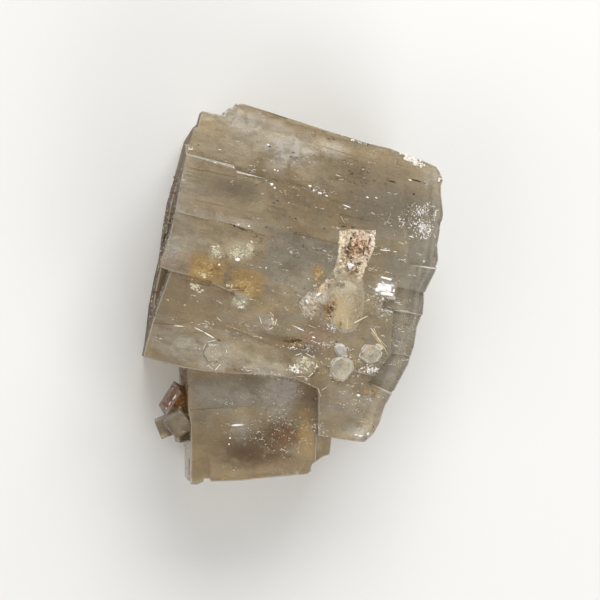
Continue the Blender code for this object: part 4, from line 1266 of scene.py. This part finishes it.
CLAY_SWARMS = drifts(
    (-16.4, 5.6, 1, 0.8, 14, 0.12), (-10.4, 1.2, 1.6, 0.5, 16), (14, -19, 0.4, 0.9, 10, 0.16),
    (-2, -28.4, 2, 2.6, 16, 0.1), (-8, -29, 0.6, 0.6, 6, 0.1), (6.4, -3.4, 0.3, 1.4, 22, 0.18),
    (0.6, -8, 1.8, 1.4, 14, 0.1))
CRUST_SWARMS = drifts(
    (23.6, 26.8, 1.9, 0.55, 96, 0.26, 1.4, 0.6, 1, math.radians(-22.0)), (29.4, 23.6, 0.3, 0.8, 8, 0.16),
    (-20.8, 28.8, 0.8, 0.5, 10, 0.15), (12.6, 30.4, 1.4, 0.2, 14, 0.14, 1.6, 0.2, 1, math.radians(-17.0)))
WALL_FILM = drifts(
    (-20.6, 20, 2.6, 3, 90, 0.4, 2, 1.5, 1, 0), (-16.8, 21, 1.6, 5, 90, 0.3, 2.4, 0.3, 1, 0))
CUBE_FILM = drifts((-23.9, -20.2, 1.7, 2.2, 150, 0.3, 1.8, 1.5, 1, 0.3))
# Painted highlight: the white flash on the left face of the amber crystal.
FLASH_FLECKS = flaws(
    (-20.6, 21.9, 0.9, 0.4, 1.4), (-21.9, 21.2, 0.6, 0.3, 1.7), (-22.9, 20.6, 0.3, 0.2))


@dataclass
class SedimentPatch:
    """The crumbly fill of the pit: a lumpy bed up to the pit's walls, with crumbs and a bright splinter."""

    surface: Surface
    outline: tuple[Point, ...] = (
        (0.5, -1.0), (2.0, 0.5), (4.3, 1.7), (6.3, 3.5), (7.7, 5.4), (8.5, 8.0), (8.7, 10.4), (8.7, 12.9),
        (11.4, 13.1), (14.0, 12.9), (16.1, 12.9), (15.9, 9.8), (15.1, 7.4), (13.9, 5.4), (13.6, 2.8),
        (13.9, 0.6), (13.7, -2.0), (13.3, -5.0), (11.6, -7.2), (9.2, -7.6), (7.1, -5.6), (6.2, -3.2),
        (5.0, -2.4), (3.2, -4.7), (0.9, -2.8))
    floor: float = 27.75
    top: float = 31.35
    tail_start: float = 8.0
    tail_length: float = 7.0
    tail_fall: float = 0.5
    guest_place: Point = (10.0, -2.2)
    guest_half: Point = (3.4, 4.7)
    guest_level: float = 31.42
    lumps: float = 0.42
    cuts: int = 5
    seed: int = 21

    def build(self) -> None:
        """Build the bed and its crumbs."""
        bm = bmesh.new()
        for vert in raised_block(bm, self.outline, self.floor)[0].verts:
            vert.co.z = self.top
        bmesh.ops.recalc_face_normals(bm, faces=bm.faces)
        lids = [f for f in bm.faces if f.normal.z > 0.9]
        bmesh.ops.triangulate(bm, faces=lids)
        for cuts in (self.cuts, 3):
            edges = [e for e in bm.edges if any(f.normal.z > 0.9 for f in e.link_faces)]
            longest = max(e.calc_length() for e in edges)
            edges = [e for e in edges if e.calc_length() > longest * 0.15]
            bmesh.ops.subdivide_edges(bm, edges=edges, cuts=cuts, use_grid_fill=True)
            bmesh.ops.triangulate(bm, faces=bm.faces)
        for vert in bm.verts:
            if vert.co.z > self.top - 0.01:
                vert.co.z = self.height(vert.co)
        bed = finished("sediment_bed", bm, SEDIMENT.make())
        adopt(bed, "matrix", "matrix_patch")
        LOG.info("sediment bed laid")
        crumbs = GrainBed("sediment_crumbs", CRUMB, Surface(bed), "matrix", 0.3, 0.7, 0.35, self.seed)
        crumbs.build(drifts(
            (12, 9, 2.6, 3.6, 60, 0.26, 2, 1), (12, 9, 2.8, 3.8, 120, 0.12, 2.4, 1.2),
            (15.4, 11.2, 0.8, 1.6, 50, 0.13, 2.2, 1.2), (12.6, 5, 1.4, 1.8, 30, 0.2, 2, 1),
            (7.6, 3.4, 1.4, 2.6, 20, 0.18, 1.8, 1), (3.4, -1, 2.4, 1.2, 24, 0.2, 1.8, 1),
            (6.9, -3.6, 0.4, 1.8, 10, 0.14, 1.6, 1), (8.4, 8.6, 0.3, 4, 24, 0.16, 1.8, 1)))
        pits = FlawBed("dark_pits", FLUID, Surface(bed), "matrix", 0.5, 0.34, seed=27)
        pits.build(flaws(
            (12.6, 6.1, 0.62, 0.13, 0.15, 4), (12.15, 5.5, 0.12, 0.5, 0.25, 4),
            (13.6, 8.6, 0.12, 1.3, 0.1, 4), (14.3, 7, 0.2, 0.2, 0, 4), (10.7, 9.6, 0.4, 0.16, 0.5),
            (10.5, 8.6, 0.5, 0.2, -0.3), (11, 11.2, 0.3, 0.16), (12.4, 9.8, 0.3, 0.2),
            (11.2, 7.2, 0.5, 0.16, 0.4), (12.6, 7.6, 0.3, 0.14), (14.7, 10.6, 0.1, 0.9, 0, 4)),
                   drifts(
                       (12.6, 9.4, 1.5, 3, 16, 0.07, 6, 0.4, 1, 1.75), (6.8, -3.4, 0.5, 1.6, 8, 0.14, 2, 1)))
        seams = FlawBed("brown_seams", SEAM, Surface(bed), "matrix", 0.5, 0.34, gap=0.5, seed=28)
        seams.build((), drifts(
            (12.4, 9.4, 1.7, 3.2, 50, 0.09, 4, 0.6, 1, 1.75), (12, 4.6, 1.3, 0.5, 14, 0.08, 4, 0.8),
            (10.6, 8.8, 0.8, 2.6, 34, 0.1, 2.4, 1.2), (6, 2, 3, 1.8, 20, 0.08, 4, 0.8),
            (6.2, -3.6, 0.9, 1.8, 30, 0.1, 3, 0.8)))
        splinter = FlawBed("bright_splinter", GLINT, Surface(bed), "matrix", 0.5, 0.42, 0.0, 0.05, 2)
        splinter.build(flaws(
            (11, 5.8, 1.15, 0.9, -1.2, 3), (9, 6.8, 0.3, 0.16), (15.2, 11.9, 0.3, 0.24),
            (4.6, 0.2, 0.7, 0.2, 0.8), (2.4, -1.2, 0.5, 0.16, -0.6)))

    def height(self, place: Vector) -> float:
        """Return the height of the bed over a place: lower along the tail, level round the guest crystal."""
        share = min(max((self.tail_start - place.x) / self.tail_length, 0.0), 1.0)
        (x, y), (half_x, half_y) = self.guest_place, self.guest_half
        away = math.hypot((place.x - x) / half_x, (place.y - y) / half_y)
        near = min(max((1.5 - away) / 0.3, 0.0), 1.0)
        lump = noise.fractal(Vector((place.x, place.y, 3.0)) * 0.9, 0.9, 2.1, 4)
        rough = self.top - self.tail_fall * share + self.lumps * lump
        return rough + (self.guest_level + 0.12 * lump - rough) * near


@dataclass
class GuestCrystal:
    """The soft-cornered yellow crystal in the pit."""

    outline: tuple[Point, ...] = (
        (6.9, 0.4), (7.6, 1.5), (8.6, 2.0), (9.3, 2.8), (10.4, 3.0), (11.8, 2.1), (12.9, 1.2), (13.3, -0.6),
        (13.3, -2.2), (13.0, -4.2), (12.7, -5.2), (11.8, -5.9), (11.2, -6.7), (10.2, -6.9), (9.3, -7.1),
        (8.5, -6.2), (7.5, -5.5), (7.2, -4.4), (6.7, -3.6), (6.7, -2.4), (6.4, -1.4), (6.8, -0.4))
    floor: float = 28.0
    rim: float = 31.44
    top: float = 31.78
    shoulder: float = 1.5
    waviness: float = 0.07

    def build(self) -> bpy.types.Object:
        """Return the crystal: a block on its outline whose top swells gently out of the bed."""
        bm = bmesh.new()
        lid = raised_block(bm, self.outline, self.floor)
        for vert in lid[0].verts:
            vert.co.z = self.rim
        bmesh.ops.recalc_face_normals(bm, faces=bm.faces)
        bmesh.ops.triangulate(bm, faces=lid)
        for _ in range(4):
            edges = [e for e in bm.edges
                     if all(v.co.z > self.rim - 0.01 for v in e.verts) and e.calc_length() > 0.4]
            bmesh.ops.subdivide_edges(bm, edges=edges, cuts=1, use_grid_fill=True)
            bmesh.ops.triangulate(bm, faces=[f for f in bm.faces if len(f.verts) > 3 and f.normal.z > 0.9])
        for vert in (v for v in bm.verts if v.co.z > self.rim - 0.01):
            share = min(self.inside(vert.co) / self.shoulder, 1.0)
            ripple = noise.fractal(Vector((vert.co.x * 1.4, vert.co.y * 0.5, 7.0)), 0.8, 2.0, 3)
            swell = (self.top - self.rim) * math.sin(share * math.pi / 2)
            vert.co.z += swell + self.waviness * ripple * min(share * 4, 1)
        obj = finished("guest_salt_crystal", bm, GUEST.make(), smooth=True)
        adopt(obj, "guest", "guest_crystal")
        return obj

    def inside(self, place: Vector) -> float:
        """Return how far a place in plan is from the nearest side of the outline."""
        gaps = []
        for start, end in zip(self.outline, self.outline[1:] + self.outline[:1]):
            _, share = intersect_point_line(place.xy, Vector(start), Vector(end))
            near = Vector(start).lerp(Vector(end), min(max(share, 0.0), 1.0))
            gaps.append((near - place.xy).length)
        return min(gaps)


@dataclass(frozen=True)
class Bud:
    """A small crystal in the front: its outline in plan, how far its top stands out, and the top's inset."""

    outline: tuple[Point, ...]
    rise: float
    inset: float = 0.4


@dataclass
class FaceCrystals:
    """The small cream and lilac crystals that are grown into the front face and stand a little out of it."""

    surface: Surface
    cream: tuple[Bud, ...] = (
        Bud(((14.0, -9.8), (16.4, -10.1), (17.3, -11.0), (17.2, -12.3), (16.4, -13.4), (14.6, -13.8),
             (12.7, -12.5), (13.0, -11.2)), 0.60, 0.35),
        Bud(((6.8, -13.8), (7.6, -12.6), (9.2, -11.9), (11.5, -13.1), (11.5, -15.1), (9.6, -17.3),
             (7.6, -16.6), (6.8, -15.5)), 0.62, 0.45),
        Bud(((16.0, -9.7), (17.2, -9.9), (17.6, -10.9), (16.7, -11.3), (15.9, -10.7)), 0.55, 0.2),
        Bud(((8.6, -11.9), (9.9, -11.7), (10.4, -12.4), (9.4, -12.9)), 0.5, 0.15),
    )
    lilac: tuple[Bud, ...] = (
        Bud(((7.7, -10.4), (8.6, -9.6), (9.8, -9.9), (10.3, -11.0), (9.6, -12.1), (8.3, -12.0)), 0.52, 0.25),
    )
    hazy: tuple[Bud, ...] = (
        Bud(((-18.4, -10.8), (-17.6, -9.3), (-15.4, -8.8), (-13.9, -10.2), (-13.6, -11.8), (-14.6, -13.2),
             (-16.1, -15.0), (-17.8, -13.4)), 0.0),
        Bud(((-7.4, -4.0), (-5.4, -3.2), (-3.8, -4.6), (-4.2, -6.2), (-5.7, -7.0), (-6.6, -6.2)), 0.0),
        Bud(((-0.8, -12.2), (1.6, -11.4), (4.4, -12.8), (3.9, -15.0), (2.2, -16.6), (-0.4, -15.6)), 0.0),
    )
    sunk: float = 1.0
    edge: float = 0.17
    seed: int = 8

    def build(self) -> None:
        """Build both sets of solids, and the bright rims of all the crystals, which are partly pale salt and
        partly painted edge highlight.
        """
        rng = random.Random(self.seed)
        sets = (("cream_crystals", CREAM_SALT, self.cream), ("lilac_crystals", LILAC_SALT, self.lilac))
        for name, finish, buds in sets:
            bm = bmesh.new()
            bm.faces.layers.float.new("whitening_and_highlight")
            for bud in buds:
                self.add(bm, bud, rng)
            crystal = finished(name, bm, finish.make())
            adopt(crystal, "halite")
            scratches = drifts(
                (15, -11.8, 1.7, 1.4, 50, 0.07, 4, 1.2), (9.1, -14.6, 1.8, 1.9, 60, 0.07, 4, 1.2),
                (8.9, -10.9, 1, 1, 22, 0.07, 3, 1.2))
            FlawBed(f"{name}_scratches", SPARK, Surface(crystal), gap=0.3, seed=51).build((), scratches)
            if buds is self.cream:
                FlawBed(f"{name}_flaws", FLUID, Surface(crystal), gap=0.3, seed=52).build((), drifts(
                    (15, -11.8, 1.7, 1.4, 12, 0.06, 3, 1.2), (9.1, -14.6, 1.8, 1.9, 12, 0.06, 3, 1.2)))
        rims = [fleck for bud in (*self.cream, *self.lilac, *self.hazy) for fleck in self.rim(bud, rng)]
        FlawBed("crystal_rims", RIM_SALT_AND_HIGHLIGHT, self.surface, thickness=0.3, proud=0.13, ragged=0.15).build(rims)

    @staticmethod
    def rim(bud: Bud, rng: random.Random) -> Iterable[Fleck]:
        """Yield thin bright slivers along the sides of one crystal."""
        for start, end in zip(bud.outline, bud.outline[1:] + bud.outline[:1]):
            way = Vector(end) - Vector(start)
            if rng.random() < 0.8:
                place = Vector(start) + way * rng.uniform(0.4, 0.6)
                yield Fleck(place.x, place.y, way.length * rng.uniform(0.3, 0.66), rng.uniform(0.05, 0.11),
                            math.atan2(way.y, way.x) - MAIN_CLEAVAGE + rng.uniform(-0.06, 0.06), 4)

    def level(self, bud: Bud, centre: Vector) -> float:
        """Return the height of the front face round one crystal."""
        places = [centre + (Vector(point) - centre) * 1.3 for point in bud.outline]
        heights = sorted(hit[0].z for hit in (self.surface.under(p.x, p.y) for p in places) if hit)
        return heights[len(heights) // 2]

    def add(self, bm: Shape, bud: Bud, rng: random.Random) -> None:
        """Add one crystal: a block on its outline with an inset, uneven, facetted top and bright bevelled
        edges, painted pale partly as whitish salt and partly as highlight.
        """
        centre = sum((Vector(point) for point in bud.outline), Vector((0.0, 0.0))) / len(bud.outline)
        level = self.level(bud, centre)
        piece = bmesh.new()
        layer = piece.faces.layers.float.new("whitening_and_highlight")
        lid = raised_block(piece, bud.outline, level - self.sunk)
        for vert in lid[0].verts:
            vert.co.z = level + bud.rise * rng.uniform(0.12, 0.5)
        bmesh.ops.recalc_face_normals(piece, faces=piece.faces)
        bmesh.ops.inset_region(piece, faces=lid, thickness=bud.inset, use_even_offset=True)
        for vert in lid[0].verts:
            vert.co.z = level + bud.rise * rng.uniform(0.86, 1.0)
        outer = [e for e in piece.edges
                 if len(e.link_faces) == 2 and min(vert.co.z for vert in e.verts) > level
                 and min(f.normal.z for f in e.link_faces) < 0.3 and rng.random() < 0.85]
        inner_rim = [e for e in lid[0].edges if rng.random() < 0.6]
        for vert in bmesh.ops.poke(piece, faces=lid)["verts"]:
            vert.co += Vector((rng.uniform(-0.6, 0.6), rng.uniform(-0.6, 0.6), 0.06)) * bud.rise
        sharp = [e for e in outer + inner_rim if e.is_valid and e.calc_length() > 0.25]
        bevelled = bmesh.ops.bevel(piece, geom=sharp, offset=self.edge, segments=1, profile=0.5,
                                   affect="EDGES", material=-1)
        # The bevels get a random pale share: partly whitish salt, partly painted highlight.
        for face in sorted(bevelled["faces"], key=lambda made: tuple(made.calc_center_median())):
            face[layer] = rng.uniform(0.45, 1.0)
        bmesh.ops.triangulate(piece, faces=piece.faces)
        mesh = bpy.data.meshes.new("bud")
        piece.to_mesh(mesh)
        piece.free()
        bm.from_mesh(mesh)
        bpy.data.meshes.remove(mesh)


@dataclass(frozen=True)
class Fibre:
    """A straight thin fibre on the front, from one place to another, with its radius."""

    start: Point
    end: Point
    radius: float = 0.11
    lift: float = 0.14
    pinch: float = 0.5


@dataclass
class Fibres:
    """The straw-coloured needles on the front face."""

    surface: Surface
    guest: Surface
    fibres: tuple[Fibre, ...] = (
        Fibre((11.7, -5.5), (14.4, -4.2), 0.16), Fibre((15.0, -6.6), (17.4, -10.0), 0.13),
        Fibre((15.3, -6.9), (18.0, -10.9), 0.12), Fibre((15.1, -7.4), (17.0, -9.9), 0.09),
        Fibre((16.0, -8.0), (18.3, -10.4), 0.08), Fibre((17.4, -10.0), (18.5, -11.9), 0.08),
        Fibre((15.6, -6.6), (16.4, -8.2), 0.08), Fibre((2.6, -6.0), (4.0, -6.6), 0.07),
        Fibre((4.6, -18.6), (5.2, -20.2), 0.07), Fibre((5.4, -18.9), (6.4, -18.2), 0.07),
        Fibre((9.0, 15.6), (9.8, 14.2), 0.06),
    )

    def build(self) -> None:
        """Build every needle as a thin five-sided prism with pinched ends."""
        bm = bmesh.new()
        for fibre in self.fibres:
            start, end = (self.above(point, fibre.lift) for point in (fibre.start, fibre.end))
            way = end - start
            turn = way.to_track_quat("Z", "Y").to_matrix().to_4x4()
            bmesh.ops.create_cone(bm, cap_ends=True, segments=5, radius1=fibre.radius,
                                  radius2=fibre.radius * fibre.pinch, depth=way.length,
                                  matrix=Matrix.Translation((start + end) / 2) @ turn)
        adopt(finished("straw_needles", bm, STRAW.make()), "guest")

    def above(self, point: Point, lift: float) -> Vector:
        """Return a place a little off the guest crystal, or off the front where that isn't under it."""
        place, normal = self.guest.under(*point) or self.surface.under(*point)
        return place + normal * lift


@dataclass
class FrontDetails:
    """The flaws, clay and crust over the front face, and the grime on the left wall. Some of the flaws are
    painted glints, highlights and small shadows.
    """

    surface: Surface

    def build(self) -> None:
        """Build every bed."""
        for name, finish, seed, look, flecks, swarms in (
                ("hazy_flaws", HAZE, 31, {"proud": -0.1, "deepest": 1.0}, HAZE_FLECKS, HAZE_SWARMS),
                # The bright and pale flaws are partly painted glints.
                ("bright_flaws_and_glints", GLINT, 3, {}, GLINT_FLECKS, GLINT_SWARMS),
                ("golden_flakes", GOLDEN, 41, {"proud": 0.02}, (), GOLDEN_SWARMS),
                ("butter_flakes", BUTTERY, 43, {}, (), BUTTER_SWARMS),
                ("pale_flaws_and_glints", SPARK, 37, {}, (), SPARK_SWARMS),
                # The dark flaws are partly painted small shadows beside the glints.
                ("dark_flaws_and_shadows", FLUID, 7, {}, FLUID_FLECKS, FLUID_SWARMS),
                ("amber_film", RUSTY, 29, {"side": Side.LEFT}, (), WALL_FILM),
                ("amber_film_front", RUSTY, 59, {"gap": 0.3}, (), CUBE_FILM),
                ("amber_crystal_flash", GLINT, 29, {"side": Side.LEFT, "proud": 0.1}, FLASH_FLECKS, ())):
            FlawBed(name, finish, self.surface, seed=seed, **look).build(flecks, swarms)
        GrainBed("orange_clay_specks", CLAY, self.surface, "matrix", 0.45, 0.4, 0.35, 9).build(CLAY_SWARMS)
        GrainBed("white_crust", CHALK, self.surface, "halite", 0.3, 0.8, 0.35, 13).build(CRUST_SWARMS)
        self.grime()

    def grime(self) -> None:
        """Streak the left wall with dark dirt and a few pale scales."""
        rng = random.Random(17)
        for name, finish, count, seed in (("left_wall_grime", GRIME, 1500, 19),
                                          ("left_wall_scales", CHALK, 160, 23)):
            flecks = [Fleck(rng.triangular(-12.0, 28.0, 16.0), rng.uniform(2.0, 31.0), rng.uniform(0.3, 2.2),
                            rng.uniform(0.08, 0.26), rng.gauss(0.0, 0.12), rng.choice((4, 5, 6)))
                      for _ in range(count)]
            flecks += [Fleck(rng.uniform(-19.0, -14.0), rng.uniform(9.0, 27.0), rng.uniform(0.3, 1.6),
                             rng.uniform(0.08, 0.22), rng.gauss(0.0, 0.12), 5) for _ in range(count // 7)]
            FlawBed(name, finish, self.surface, seed=seed, gap=0.35, side=Side.LEFT).build(flecks)


# ---- camera, light and floor ----
@dataclass
class Studio:
    """A pale floor, soft light from the top side, and a camera that looks down on the front face."""

    camera_place: Place = (-54.25, 3.5, 458.0)
    camera_aim: Place = (0.93, -1.0, 31.0)
    lens: float = 130.3
    floor_half: float = 900.0
    floor_drop: float = 0.15
    lamps: tuple[tuple[str, Place, float, float], ...] = (
        ("key", (115.0, 600.0, 470.0), 600.0, 6.3), ("fill", (-560.0, -250.0, 520.0), 600.0, 1.6),
        ("rim", (300.0, -560.0, 400.0), 500.0, 2.5))
    lamp_aim: Place = (0.0, 0.0, 15.0)
    sky: Colour = (0.99, 0.975, 0.94)
    sky_strength: float = 0.42

    def build(self) -> None:
        """Build the floor, the lights, the world and the camera."""
        self.floor()
        for lamp in self.lamps:
            self.lamp(*lamp)
        self.world()
        self.camera()

    def floor(self) -> None:
        """Lay the floor just under the crystal."""
        bm = bmesh.new()
        bmesh.ops.create_grid(bm, x_segments=1, y_segments=1, size=self.floor_half)
        bmesh.ops.translate(bm, vec=(0.0, 0.0, -self.floor_drop), verts=bm.verts)
        finished("floor", bm, FloorFinish().make())

    @staticmethod
    def turned(place: Vector, aim: Vector, up: Vector) -> Matrix:
        """Return the world matrix of something at a place that looks at an aim.

        Args:
            place: Where it is.
            aim: What it looks at.
            up: The direction that is up in its view.

        Returns:
            The matrix.
        """
        back = (place - aim).normalized()
        right = up.cross(back).normalized()
        turn = Matrix((right, back.cross(right), back)).transposed()
        return Matrix.Translation(place) @ turn.to_4x4()

    def lamp(self, name: str, place: Place, size: float, power: float) -> None:
        """Hang a soft square lamp that points at the crystal."""
        data = bpy.data.lights.new(name, "AREA")
        data.shape = "SQUARE"
        data.size = size * MM
        data.energy = power
        lamp = bpy.data.objects.new(name, data)
        lamp.matrix_world = self.turned(Vector(place) * MM, Vector(self.lamp_aim) * MM, Vector((0, 0.02, 1)))
        bpy.context.scene.collection.objects.link(lamp)

    def world(self) -> None:
        """Fill the room with soft light."""
        world = bpy.data.worlds.new("studio")
        bpy.context.scene.world = world
        world.use_nodes = True
        background = world.node_tree.nodes["Background"]
        background.inputs["Color"].default_value = rgba(self.sky)
        background.inputs["Strength"].default_value = self.sky_strength

    def camera(self) -> None:
        """Place the camera."""
        data = bpy.data.cameras.new("camera")
        data.lens = self.lens
        data.sensor_width = 36.0
        data.clip_start = 0.01
        camera = bpy.data.objects.new("camera", data)
        camera.matrix_world = self.turned(Vector(self.camera_place) * MM, Vector(self.camera_aim) * MM,
                                          Vector((0, 1, 0)))
        bpy.context.scene.collection.objects.link(camera)
        bpy.context.scene.camera = camera


def main() -> None:
    """Build every piece in order."""
    logging.basicConfig(level=logging.INFO, format="%(message)s")
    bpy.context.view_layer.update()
    bpy.context.scene.view_settings.view_transform = "Standard"
    Studio().build()
    surface = HaliteBlocks().build()
    SedimentPatch(surface).build()
    guest = GuestCrystal().build()
    FaceCrystals(surface).build()
    Fibres(surface, Surface(guest)).build()
    FrontDetails(surface).build()


if __name__ == "__main__":
    main()
